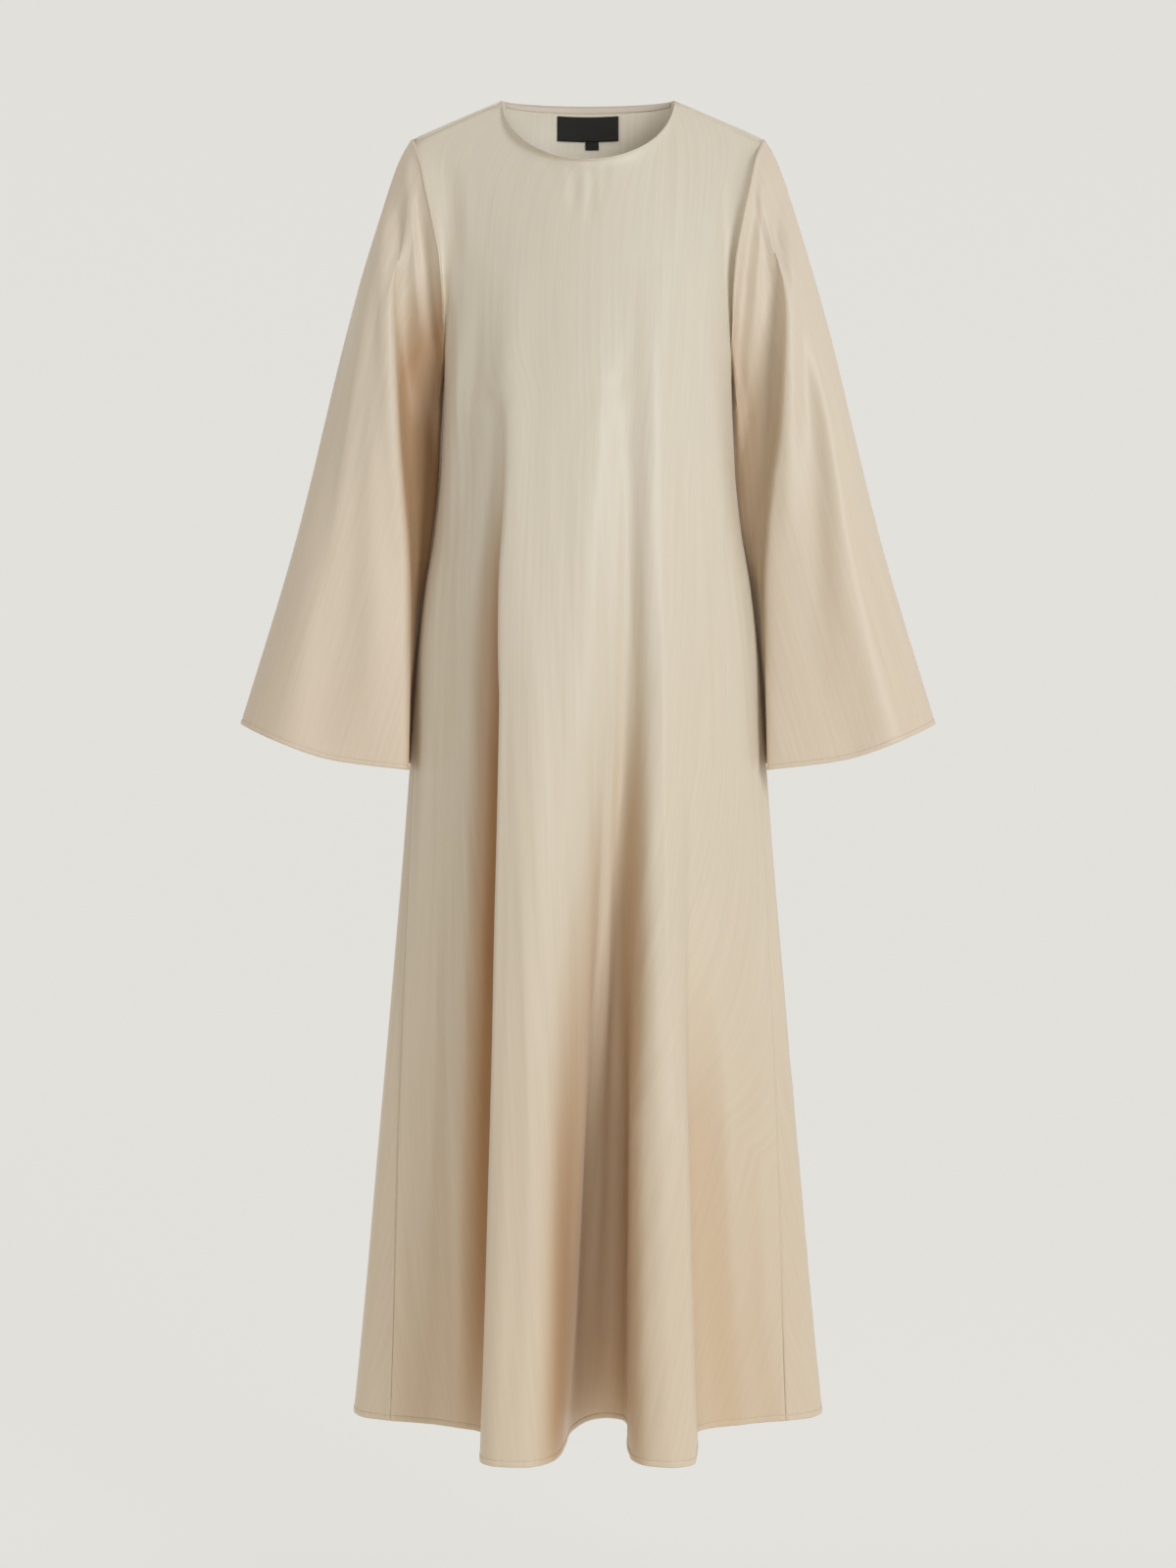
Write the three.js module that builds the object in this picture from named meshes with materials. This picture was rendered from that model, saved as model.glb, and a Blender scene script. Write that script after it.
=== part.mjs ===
// A long A-line abaya, worn by nobody: hollow front and back panels, two bell
// sleeves, the bound back neck, a blank woven label and a blank size tab.
// Millimetres, +Z up, the front faces -Y. The origin is halfway between the two
// high points of the shoulders, where the wearer carries the garment.
import * as THREE from 'three';

// Driving dimensions
const GARMENT_LENGTH = 1372;      // high point of the shoulder to the hem
const NECK_HALF_WIDTH = 90;
const FRONT_NECK_DROP = 78;
const FRONT_NECK_FORWARD = 60;
const BACK_NECK_RISE = 11;
const BACK_NECK_BEHIND = 62;
const SHOULDER_POINT_OUT = 182;
const SHOULDER_POINT_DROP = 40;
const UNDERARM_DROP = 290;
const WALL = 1.6;                 // modelled thickness of the cloth
const SEAM_GAP = 0.3;             // between pieces that are sewn together
const SEAM_TRIM = 0.2;            // taken off each panel along its seams

// The bound back neck, the label and the size tab
const BINDING_DEPTH = 8;
const BINDING_WALL = 1;
const BINDING_GAP = 0.5;
const BINDING_REACH = 82;
const LABEL_WIDTH = 65;
const LABEL_DEPTH = 28;
const LABEL_TOP = -1.5;
const TAB_WIDTH = 14;
const TAB_DEPTH = 9;
const TAB_CENTRE = 4.5;
const TRIM_WALL = 1;

// How finely each piece is faceted
const FRONT_GRID = { armhole: 6, shoulder: 6, neck: 22, up: 20 };
const BACK_GRID = { armhole: 6, shoulder: 5, neck: 16, up: 18 };
const SLEEVE_ROWS = 12;
const LABEL_STEPS = 8;
const TAB_STEPS = 2;

// Half-width at the sides and depth in front and behind, without the folds
const RINGS = [
  // z, side, front, behind
  { z: -1372, side: 245, front: 100, behind: 112 },
  { z: -1286, side: 237, front: 101, behind: 111 },
  { z: -1070, side: 218.7, front: 106, behind: 106 },
  { z: -906, side: 205, front: 110, behind: 102 },
  { z: -750, side: 192.5, front: 114, behind: 99 },
  { z: -655, side: 185.5, front: 117, behind: 96 },
  { z: -578, side: 180, front: 119, behind: 94 },
  { z: -513, side: 172, front: 121, behind: 92 },
  { z: -447, side: 160, front: 122, behind: 92 },
  { z: -384, side: 153, front: 120, behind: 93 },
  { z: -290, side: 149.5, front: 115, behind: 97 },
  { z: -150, side: 149.5, front: 108, behind: 99 },
  { z: 40, side: 149.5, front: 100, behind: 92 },
];

// The armhole from the shoulder point down to the underarm
const ARMHOLE = [
  { x: 182, z: -40, front: 0, behind: 0 },
  { x: 173, z: -66, front: 23, behind: 22 },
  { x: 165, z: -104, front: 36, behind: 38 },
  { x: 158, z: -136, front: 42, behind: 46 },
  { x: 150.5, z: -180, front: 45, behind: 50 },
  { x: 148, z: -220, front: 41, behind: 46 },
  { x: 147.5, z: -257, front: 29, behind: 32 },
  { x: 149.5, z: -290, front: 0, behind: 0 },
];

// Fold lines of the front: where each lies across the chest, as a share of the
// half-width, and where it lies at the hem, across and forward
const FRONT_LINES = [
  { line: 'side seam', chest: -1, x: -205, out: 19 },
  { line: 'left panel outer', chest: -0.93, x: -164, out: 30 },
  { line: 'left panel', chest: -0.82, x: -136, out: 44 },
  { line: 'left hollow', chest: -0.68, x: -114, out: 55 },
  { line: 'left pipe foot', chest: -0.6, x: -103, out: 72 },
  { line: 'left pipe wall', chest: -0.57, x: -106, out: 122 },
  { line: 'left pipe edge', chest: -0.545, x: -105, out: 162 },
  { line: 'left pipe crest', chest: -0.47, x: -88, out: 180 },
  { line: 'left pipe front', chest: -0.3, x: -61, out: 182 },
  { line: 'left pipe shoulder', chest: -0.06, x: -36, out: 165 },
  { line: 'left pipe inner wall', chest: 0.1, x: -24, out: 124 },
  { line: 'left pipe inner foot', chest: 0.21, x: -19, out: 72 },
  { line: 'centre hollow left', chest: 0.29, x: -4, out: 26 },
  { line: 'centre hollow', chest: 0.35, x: 19, out: 8 },
  { line: 'centre hollow right', chest: 0.39, x: 36, out: 16 },
  { line: 'right pipe foot', chest: 0.42, x: 41, out: 52 },
  { line: 'right pipe wall', chest: 0.44, x: 39, out: 106 },
  { line: 'right pipe edge', chest: 0.457, x: 41, out: 150 },
  { line: 'right pipe crest', chest: 0.48, x: 56, out: 176 },
  { line: 'right pipe front', chest: 0.51, x: 82, out: 183 },
  { line: 'right pipe ridge', chest: 0.55, x: 104, out: 168 },
  { line: 'right pipe outer wall', chest: 0.585, x: 109, out: 112 },
  { line: 'right pipe outer foot', chest: 0.63, x: 111, out: 62 },
  { line: 'right hollow', chest: 0.71, x: 126, out: 46 },
  { line: 'right panel', chest: 0.83, x: 157, out: 34 },
  { line: 'right panel outer', chest: 0.93, x: 184, out: 24 },
  { line: 'side seam', chest: 1, x: 205, out: 19 },
];

// Fold lines of the back, in the same way, with out counted backwards
const BACK_LINES = [
  { line: 'side seam', chest: -1, x: -205, out: -19 },
  { line: 'left side turn', chest: -0.997, x: -234, out: -5 },
  { line: 'left side', chest: -0.985, x: -246, out: 17 },
  { line: 'left side pipe', chest: -0.95, x: -247, out: 46 },
  { line: 'left side pipe back', chest: -0.88, x: -228, out: 82 },
  { line: 'left hollow', chest: -0.73, x: -187, out: 88 },
  { line: 'left pipe outer', chest: -0.62, x: -157, out: 116 },
  { line: 'left pipe crest', chest: -0.5, x: -126, out: 158 },
  { line: 'left pipe inner', chest: -0.37, x: -92, out: 142 },
  { line: 'centre hollow left', chest: -0.22, x: -58, out: 95 },
  { line: 'centre pipe left', chest: -0.08, x: -24, out: 120 },
  { line: 'centre pipe crest', chest: 0.04, x: 8, out: 156 },
  { line: 'centre pipe right', chest: 0.17, x: 44, out: 136 },
  { line: 'centre hollow right', chest: 0.3, x: 71, out: 88 },
  { line: 'right pipe inner', chest: 0.42, x: 99, out: 122 },
  { line: 'right pipe crest', chest: 0.54, x: 133, out: 165 },
  { line: 'right pipe outer', chest: 0.66, x: 165, out: 136 },
  { line: 'right hollow', chest: 0.77, x: 192, out: 93 },
  { line: 'right side pipe back', chest: 0.89, x: 226, out: 84 },
  { line: 'right side pipe', chest: 0.95, x: 247, out: 46 },
  { line: 'right side', chest: 0.985, x: 246, out: 17 },
  { line: 'right side turn', chest: 0.997, x: 234, out: -5 },
  { line: 'side seam', chest: 1, x: 205, out: -19 },
];

// Lines down a sleeve: the share of the armhole where each starts (negative
// behind), its distance out and forward at 30 % and 70 % of the length and at
// the hem, and the height of the hem there
const SLEEVE_LINES = [
  { line: 'overarm', arm: 0, x3: 243, f3: 0, x7: 306, f7: 0, xHem: 361.5, fHem: 0, zHem: -650 },
  { line: 'outer crest', arm: 0.06, x3: 228, f3: 34, x7: 274, f7: 46, xHem: 319, fHem: 50, zHem: -669 },
  { line: 'valley', arm: 0.1, x3: 214, f3: 42, x7: 240, f7: 39, xHem: 264, fHem: 44, zHem: -688 },
  { line: 'fold edge', arm: 0.15, x3: 201, f3: 47, x7: 188, f7: 31, xHem: 189, fHem: 36, zHem: -698 },
  { line: 'inner fold', arm: 0.27, x3: 190, f3: 24, x7: 181, f7: 13, xHem: 190, fHem: 19, zHem: -697 },
  { line: 'inner', arm: 0.6, x3: 168, f3: 6, x7: 178, f7: 0, xHem: 190.5, fHem: 4, zHem: -695 },
  { line: 'underarm', arm: 1, x3: 157.5, f3: -12, x7: 180.5, f7: -12, xHem: 192, fHem: -11, zHem: -692 },
  { line: 'inner back', arm: -0.62, x3: 155, f3: -38, x7: 177, f7: -42, xHem: 190, fHem: -42, zHem: -690 },
  { line: 'back', arm: -0.34, x3: 206, f3: -60, x7: 230, f7: -68, xHem: 252, fHem: -66, zHem: -682 },
  { line: 'outer back', arm: -0.12, x3: 228, f3: -40, x7: 279, f7: -50, xHem: 320, fHem: -48, zHem: -666 },
];
const SLEEVE_STATIONS = [0, 0.3, 0.7, 1];

// How the cloth rounds and folds between the sections
const CHEST_SQUARENESS = 2.8;      // power of the rounded plan of the chest
const SHOULDER_SHARE = 0.8;        // chest share below the shoulder point
const NECK_SHARE = 0.5;            // chest share below the high point of the shoulder
const FOLD_SPREAD = 0.65;          // how early the fold lines move across
const SEAM_SPREAD = 1.7;           // how late the side seams move to the front
const FOLD_DEEPENING = 1.15;        // how early the folds deepen
const CROWN_POWER = 2.2;           // how late a panel turns in to its top edge
const CROWN_ROUND = 0.5;           // 0.5 rounds a panel over the shoulder, 1 is flat
const CROWN_FLATTENING = 2;        // how soon a panel is flat below the neck edge
const CROWN_LEAN = 2;              // how late a panel leans across to its top edge
const SEAM_SHARPNESS = 12;         // how close to the side seam its own spread holds
const CORNER_SHARPNESS = 4;        // how close to the side seam corners stay sharp
const ROW_CROWDING = 1.5;          // rows lie closer together near the top edge
const SHOULDER_TURN_SHARE = 0.22;  // share of the armhole that turns with the shoulder
const ARMHOLE_TURN_DEPTH = 40;     // depth over which the armhole turns to face out
const SOFTENING = [1, 6, 15, 20, 15, 6, 1].map((weight) => weight / 64);
const SOFTENING_SPREAD = 0.9;      // how wide the corners of a top edge fade out
const CAP_PUFF = 11;               // how far the sleeve cap stands out
const CAP_RISE = 0.035;
const CAP_FADE = 0.24;
const SLEEVE_CLEARANCE = 1.1;      // a sleeve's seam stands off the armhole by this
const BINDING_END_SHARE = 0.5;     // depth of the binding at its ends, of its full depth

// Numbers of the search for places, and a length too small to matter
const HALVINGS = 40;
const COLUMN_SAMPLES = 200;
const NORMAL_STEP = 1e-3;
const TINY = 1e-6;

// Colours of the cloth and the label
const CLOTH_COLOUR = 0xcdbfa9;
const BINDING_COLOUR = 0xbcb09c;
const LABEL_COLOUR = 0x262625;
const CLOTH_ROUGHNESS = 0.5;
const LABEL_ROUGHNESS = 0.8;

const HEM_Z = -GARMENT_LENGTH;
const CHEST_Z = -UNDERARM_DROP;

// Slopes of a smooth curve through the knots that never overshoots them
function smoothSlopes(knots, values) {
  const last = knots.length - 1;
  const steps = values.slice(1).map((value, i) => (value - values[i]) / (knots[i + 1] - knots[i]));
  const slopes = [steps[0]];
  for (let i = 1; i < last; i += 1) {
    const product = steps[i - 1] * steps[i];
    slopes.push(product > 0 ? (2 * product) / (steps[i - 1] + steps[i]) : 0);
  }
  slopes.push(steps[last - 1]);
  return slopes;
}

// The smooth curve itself, as a function of the knot variable
function smoothCurve(knots, values) {
  const slopes = smoothSlopes(knots, values);
  return (at) => {
    let i = 0;
    while (i < knots.length - 2 && at > knots[i + 1]) i += 1;
    const span = knots[i + 1] - knots[i];
    const t = Math.min(Math.max((at - knots[i]) / span, 0), 1);
    const t2 = t * t;
    const t3 = t2 * t;
    return values[i] * (2 * t3 - 3 * t2 + 1) + slopes[i] * span * (t3 - 2 * t2 + t)
      + values[i + 1] * (3 * t2 - 2 * t3) + slopes[i + 1] * span * (t3 - t2);
  };
}

// One smooth curve for each named column of a table
function columnsOf(rows, knots, names) {
  const curves = {};
  for (const name of names) {
    curves[name] = smoothCurve(knots, rows.map((row) => row[name]));
  }
  return curves;
}

// Distance along a row of points, from 0 to 1
function shareAlong(points) {
  const along = [0];
  for (let i = 1; i < points.length; i += 1) {
    along.push(along[i - 1] + points[i].distanceTo(points[i - 1]));
  }
  return along.map((length) => length / along[along.length - 1]);
}

const ring = columnsOf(RINGS, RINGS.map((row) => row.z), ['side', 'front', 'behind']);

const armholeShares = shareAlong(ARMHOLE.map((row) => new THREE.Vector3(row.x, row.front, row.z)));
const armhole = columnsOf(ARMHOLE, armholeShares, ['x', 'z', 'front', 'behind']);

// A point of the armhole on the viewer's right; share 0 is the shoulder point,
// 1 the underarm, and a negative share is the back half
function armholePoint(share) {
  const at = Math.abs(share);
  const out = share < 0 ? armhole.behind(at) : -armhole.front(at);
  return new THREE.Vector3(armhole.x(at), out, armhole.z(at));
}

// The top edge of a panel above a share of the chest: armhole, shoulder or neck
function topEdge(chest, facing) {
  const across = Math.abs(chest);
  const side = Math.sign(chest) || 1;
  if (across >= SHOULDER_SHARE) {
    const share = (across - SHOULDER_SHARE) / (1 - SHOULDER_SHARE);
    const point = armholePoint(facing < 0 ? share : -share);
    return { point: new THREE.Vector3(side * point.x, point.y, point.z), round: CROWN_ROUND };
  }
  if (across >= NECK_SHARE) {
    const share = (across - NECK_SHARE) / (SHOULDER_SHARE - NECK_SHARE);
    const x = NECK_HALF_WIDTH + share * (SHOULDER_POINT_OUT - NECK_HALF_WIDTH);
    return { point: new THREE.Vector3(side * x, 0, -share * SHOULDER_POINT_DROP), round: CROWN_ROUND };
  }
  const angle = (Math.PI / 2) * (1 - across / NECK_SHARE);
  const drop = facing < 0 ? -FRONT_NECK_DROP : BACK_NECK_RISE;
  const out = facing < 0 ? -FRONT_NECK_FORWARD : BACK_NECK_BEHIND;
  const level = Math.sin(angle);
  const point = new THREE.Vector3(side * NECK_HALF_WIDTH * Math.cos(angle), out * level, drop * level);
  return { point, round: CROWN_ROUND + (1 - CROWN_ROUND) * Math.min(1, CROWN_FLATTENING * level) };
}

// The top edge averaged over its neighbours, so that its corners fade out below it
function softTopEdge(chest, facing, spread) {
  const point = new THREE.Vector3();
  let round = 0;
  SOFTENING.forEach((weight, i) => {
    const shifted = chest + spread * (i / (SOFTENING.length - 1) - 0.5);
    const top = topEdge(Math.max(-1, Math.min(1, shifted)), facing);
    point.addScaledVector(top.point, weight);
    round += weight * top.round;
  });
  return { point, round };
}

// A panel as a surface: point(share across, share up)
class Panel {
  constructor(lines, facing) {
    this.facing = facing;
    this.depth = facing < 0 ? ring.front : ring.behind;
    const hemPoints = lines.map((row) => new THREE.Vector3(row.x, row.out, 0));
    const knots = shareAlong(hemPoints);
    this.line = columnsOf(lines, knots, ['chest', 'x', 'out']);
  }

  // The share across the hem below a share of the chest
  acrossAt(chest) {
    let low = 0;
    let high = 1;
    for (let i = 0; i < HALVINGS; i += 1) {
      const middle = (low + high) / 2;
      if (this.line.chest(middle) < chest) low = middle;
      else high = middle;
    }
    return (low + high) / 2;
  }

  // Columns with one on each corner of the top edge, even between the corners
  // along the hem and the top edge together
  columns(grid) {
    const corners = [-1, -SHOULDER_SHARE, -NECK_SHARE, NECK_SHARE, SHOULDER_SHARE, 1];
    const counts = [grid.armhole, grid.shoulder, grid.neck, grid.shoulder, grid.armhole];
    const found = [0];
    counts.forEach((count, part) => {
      const low = part === 0 ? 0 : this.acrossAt(corners[part]);
      const high = part === counts.length - 1 ? 1 : this.acrossAt(corners[part + 1]);
      const step = (high - low) / COLUMN_SAMPLES;
      const shares = Array.from({ length: COLUMN_SAMPLES + 1 }, (_, i) => low + step * i);
      const tops = shareAlong(shares.map((s) => topEdge(this.line.chest(s), this.facing).point));
      for (let k = 1; k <= count; k += 1) {
        const even = shares.findIndex((s, i) => (i / COLUMN_SAMPLES + tops[i]) / 2 >= k / count - TINY);
        found.push(shares[even]);
      }
    });
    return found;
  }

  // The chest form without folds, at a height
  plain(chest, z) {
    const bulge = Math.sqrt(Math.max(0, 1 - Math.abs(chest) ** CHEST_SQUARENESS));
    return { x: ring.side(z) * chest, out: this.depth(z) * bulge };
  }

  at(s, z, top) {
    const chest = this.line.chest(s);
    const form = this.plain(chest, z);
    if (z < CHEST_Z) {
      const grown = (CHEST_Z - z) / (CHEST_Z - HEM_Z);
      const hem = this.plain(chest, HEM_Z);
      const edge = Math.abs(chest) ** SEAM_SHARPNESS;
      const spread = grown ** (FOLD_SPREAD + (SEAM_SPREAD - FOLD_SPREAD) * edge);
      form.x += (this.line.x(s) - hem.x) * spread;
      form.out += (this.line.out(s) - hem.out) * grown ** FOLD_DEEPENING;
      return new THREE.Vector3(form.x, this.facing * form.out, z);
    }
    const below = 1 - Math.min(1, (z - CHEST_Z) / Math.max(top.point.z - CHEST_Z, TINY));
    const inside = 1 - Math.abs(chest) ** CORNER_SHARPNESS;
    const soft = softTopEdge(chest, this.facing, SOFTENING_SPREAD * below * inside);
    const risen = Math.min(1, (z - CHEST_Z) / Math.max(soft.point.z - CHEST_Z, TINY));
    const crown = this.plain(chest, soft.point.z);
    const turned = 1 - Math.max(0, 1 - risen ** CROWN_POWER) ** soft.round;
    const x = form.x + (soft.point.x - crown.x) * risen ** CROWN_LEAN;
    const y = this.facing * form.out + (soft.point.y - this.facing * crown.out) * turned;
    return new THREE.Vector3(x, y, z);
  }

  point(s, v) {
    const top = topEdge(this.line.chest(s), this.facing);
    const z = HEM_Z + (top.point.z - HEM_Z) * (1 - (1 - v) ** ROW_CROWDING);
    return this.at(s, z, top);
  }
}

const frontPanel = new Panel(FRONT_LINES, -1);
const backPanel = new Panel(BACK_LINES, 1);

// Unit normal of a surface function, on the side given by sign
function normalOf(surface, u, v, sign) {
  const lowU = Math.max(0, u - NORMAL_STEP);
  const highU = Math.min(1, u + NORMAL_STEP);
  const lowV = Math.max(0, v - NORMAL_STEP);
  const highV = Math.min(1, v + NORMAL_STEP);
  const alongU = surface(highU, v).sub(surface(lowU, v));
  const alongV = surface(u, highV).sub(surface(u, lowV));
  return alongU.cross(alongV).normalize().multiplyScalar(sign);
}

const panelSurface = (panel) => (u, v) => panel.point(u, v);
const frontNormal = (u, v) => normalOf(panelSurface(frontPanel), u, v, 1);
const backNormal = (u, v) => normalOf(panelSurface(backPanel), u, v, -1);

// The way out of the cloth at a side seam, shared by front and back
function sideSeamNormal(side, v) {
  const u = side < 0 ? 0 : 1;
  return frontNormal(u, v).add(backNormal(u, v)).normalize();
}

// The way out of the cloth on the shoulder seam
function shoulderNormal(side) {
  const run = SHOULDER_POINT_OUT - NECK_HALF_WIDTH;
  return new THREE.Vector3(side * SHOULDER_POINT_DROP, 0, run).normalize();
}

// The way out of a panel along the armhole
function armholeNormal(side, share) {
  const at = Math.abs(share);
  const point = armholePoint(share);
  const outward = new THREE.Vector3(side, point.y / ARMHOLE_TURN_DEPTH, 0).normalize();
  const crown = Math.max(0, 1 - at / SHOULDER_TURN_SHARE);
  return outward.lerp(shoulderNormal(side), crown).normalize();
}

// Normals of a panel, with the shared ones on its seams
function panelNormal(panel, own) {
  return (u, v) => {
    const chest = panel.line.chest(u);
    const across = Math.abs(chest);
    const side = Math.sign(chest) || 1;
    if (v === 1 && across >= SHOULDER_SHARE) {
      const share = (across - SHOULDER_SHARE) / (1 - SHOULDER_SHARE);
      return armholeNormal(side, -panel.facing * share);
    }
    if (v === 1 && across >= NECK_SHARE) return shoulderNormal(side);
    if (u === 0 || u === 1) return sideSeamNormal(side, v);
    return own(u, v);
  };
}

// A closed mesh from a grid of outer and inner points
function shellGeometry(outer, inner, closedAround) {
  const columns = outer.length;
  const rows = outer[0].length;
  const positions = [];
  const number = (layer, i, j) => layer * columns * rows + (i % columns) * rows + j;
  for (const layer of [outer, inner]) {
    for (const column of layer) {
      for (const point of column) positions.push(point.x, point.y, point.z);
    }
  }
  const triangles = [];
  const quad = (a, b, c, d) => triangles.push(a, b, c, a, c, d);
  const spans = closedAround ? columns : columns - 1;
  for (let i = 0; i < spans; i += 1) {
    for (let j = 0; j < rows - 1; j += 1) {
      quad(number(0, i, j), number(0, i + 1, j), number(0, i + 1, j + 1), number(0, i, j + 1));
      quad(number(1, i, j), number(1, i, j + 1), number(1, i + 1, j + 1), number(1, i + 1, j));
    }
    quad(number(1, i, 0), number(1, i + 1, 0), number(0, i + 1, 0), number(0, i, 0));
    quad(number(0, i, rows - 1), number(0, i + 1, rows - 1), number(1, i + 1, rows - 1), number(1, i, rows - 1));
  }
  if (!closedAround) {
    for (let j = 0; j < rows - 1; j += 1) {
      const last = columns - 1;
      quad(number(0, 0, j), number(0, 0, j + 1), number(1, 0, j + 1), number(1, 0, j));
      quad(number(1, last, j), number(1, last, j + 1), number(0, last, j + 1), number(0, last, j));
    }
  }
  const geometry = new THREE.BufferGeometry();
  geometry.setAttribute('position', new THREE.Float32BufferAttribute(positions, 3));
  geometry.setIndex(signedVolume(positions, triangles) < 0 ? triangles.slice().reverse() : triangles);
  geometry.computeVertexNormals();
  return geometry;
}

function signedVolume(positions, triangles) {
  const corner = (i) => new THREE.Vector3().fromArray(positions, 3 * triangles[i]);
  let volume = 0;
  for (let i = 0; i < triangles.length; i += 3) {
    volume += corner(i).dot(corner(i + 1).cross(corner(i + 2))) / 6;
  }
  return volume;
}

// Moves the side and top edges of a panel back from its seams, along the cloth
function trimEdge(grid) {
  const back = (from, towards) => {
    const step = towards.clone().sub(from).normalize().multiplyScalar(SEAM_TRIM);
    return from.clone().add(step);
  };
  const lastColumn = grid.length - 1;
  const lastRow = grid[0].length - 1;
  grid[0] = grid[0].map((point, j) => back(point, grid[1][j]));
  grid[lastColumn] = grid[lastColumn].map((point, j) => back(point, grid[lastColumn - 1][j]));
  for (const column of grid) column[lastRow] = back(column[lastRow], column[lastRow - 1]);
}

// A wall of cloth: outer points on a surface, inner ones moved in from them
function wallGrids(surface, normal, columns, rows, wall) {
  const shares = Array.from({ length: rows + 1 }, (_, j) => j / rows);
  const outer = columns.map((u) => shares.map((v) => surface(u, v)));
  const inner = columns.map((u, i) => shares.map((v, j) => {
    return outer[i][j].clone().addScaledVector(normal(u, v), -wall);
  }));
  return { outer, inner };
}

function panelGrids(panel, own, grid) {
  const surface = panelSurface(panel);
  const grids = wallGrids(surface, panelNormal(panel, own), panel.columns(grid), grid.up, WALL);
  trimEdge(grids.outer);
  trimEdge(grids.inner);
  return grids;
}

// A smooth closed curve through values at even places around a sleeve
function aroundCurve(values, turn) {
  const count = values.length;
  const at = turn * count;
  const i = Math.floor(at);
  const t = at - i;
  const [a, b, c, d] = [-1, 0, 1, 2].map((step) => values[(i + step + count) % count]);
  return b + 0.5 * t * (c - a + t * (2 * a - 5 * b + 4 * c - d + t * (3 * (b - c) + d - a)));
}

// Where a sleeve's cloth starts on the armhole, unrolled so that it never jumps:
// 0 at the shoulder point, 1 at the underarm and 2 at the shoulder point again
const armholeTurns = SLEEVE_LINES.map((row) => (row.arm < 0 ? 2 + row.arm : row.arm));
const unrolledShare = smoothCurve(
  Array.from({ length: armholeTurns.length + 1 }, (_, i) => i / armholeTurns.length),
  [...armholeTurns, 2],
);

// The turn around the sleeve at which its cloth starts on an unrolled share
function turnAt(share) {
  let low = 0;
  let high = 1;
  for (let i = 0; i < HALVINGS; i += 1) {
    const middle = (low + high) / 2;
    if (unrolledShare(middle) < share) low = middle;
    else high = middle;
  }
  return (low + high) / 2;
}

// Turns with one on each corner of the panels' armhole edges and one between
function sleeveTurns(side) {
  const share = (chest) => {
    const past = (Math.abs(chest) - SHOULDER_SHARE) / (1 - SHOULDER_SHARE);
    return Math.max(0, Math.min(1, past));
  };
  const edge = (panel, grid) => {
    const columns = side < 0 ? panel.columns(grid).reverse() : panel.columns(grid);
    return columns.slice(-grid.armhole - 1).map((s) => share(panel.line.chest(s)));
  };
  const front = edge(frontPanel, FRONT_GRID);
  const back = edge(backPanel, BACK_GRID).map((part) => 2 - part).reverse();
  const corners = [...front, ...back.slice(1)].map(turnAt);
  const turns = [];
  for (let i = 0; i < corners.length - 1; i += 1) {
    turns.push(corners[i], (corners[i] + corners[i + 1]) / 2);
  }
  return turns;
}

// A sleeve on one side, as point(turn around, share along)
function sleeveSurface(side) {
  return (turn, along) => {
    const unrolled = unrolledShare(turn);
    const start = armholePoint(unrolled > 1 ? unrolled - 2 : unrolled);
    const column = (name) => aroundCurve(SLEEVE_LINES.map((row) => row[name]), turn);
    const out = smoothCurve(SLEEVE_STATIONS, [start.x, column('x3'), column('x7'), column('xHem')])(along);
    const forward = smoothCurve(SLEEVE_STATIONS, [-start.y, column('f3'), column('f7'), column('fHem')])(along);
    const puff = CAP_PUFF * (1 - Math.exp(-along / CAP_RISE)) * Math.exp(-along / CAP_FADE);
    const overarm = Math.max(0, Math.cos(turn * 2 * Math.PI));
    const z = start.z + (column('zHem') - start.z) * along;
    return new THREE.Vector3(side * (out + SLEEVE_CLEARANCE + puff * overarm), -forward, z);
  };
}

function sleeveNormal(side) {
  const surface = sleeveSurface(side);
  return (turn, along) => {
    const ahead = surface((turn + NORMAL_STEP) % 1, along);
    const around = ahead.sub(surface((turn + 1 - NORMAL_STEP) % 1, along));
    const lower = surface(turn, Math.min(1, along + NORMAL_STEP));
    const down = lower.sub(surface(turn, Math.max(0, along - NORMAL_STEP)));
    return around.cross(down).normalize().multiplyScalar(side);
  };
}

function clothMaterial(colour, roughness) {
  return new THREE.MeshStandardMaterial({ color: colour, roughness, metalness: 0 });
}

function namedMesh(name, geometry, material) {
  const mesh = new THREE.Mesh(geometry, material);
  mesh.name = name;
  return mesh;
}

function panelMesh(name, grids) {
  const geometry = shellGeometry(grids.outer, grids.inner, false);
  return namedMesh(name, geometry, clothMaterial(CLOTH_COLOUR, CLOTH_ROUGHNESS));
}

function sleeveMesh(name, side) {
  const turns = sleeveTurns(side);
  const grids = wallGrids(sleeveSurface(side), sleeveNormal(side), turns, SLEEVE_ROWS, WALL);
  for (const grid of [grids.outer, grids.inner]) {
    for (let i = 1; i < grid.length; i += 2) {
      grid[i][0] = grid[i - 1][0].clone().lerp(grid[(i + 1) % grid.length][0], 0.5);
    }
  }
  const geometry = shellGeometry(grids.outer, grids.inner, true);
  return namedMesh(name, geometry, clothMaterial(CLOTH_COLOUR, CLOTH_ROUGHNESS));
}

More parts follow.
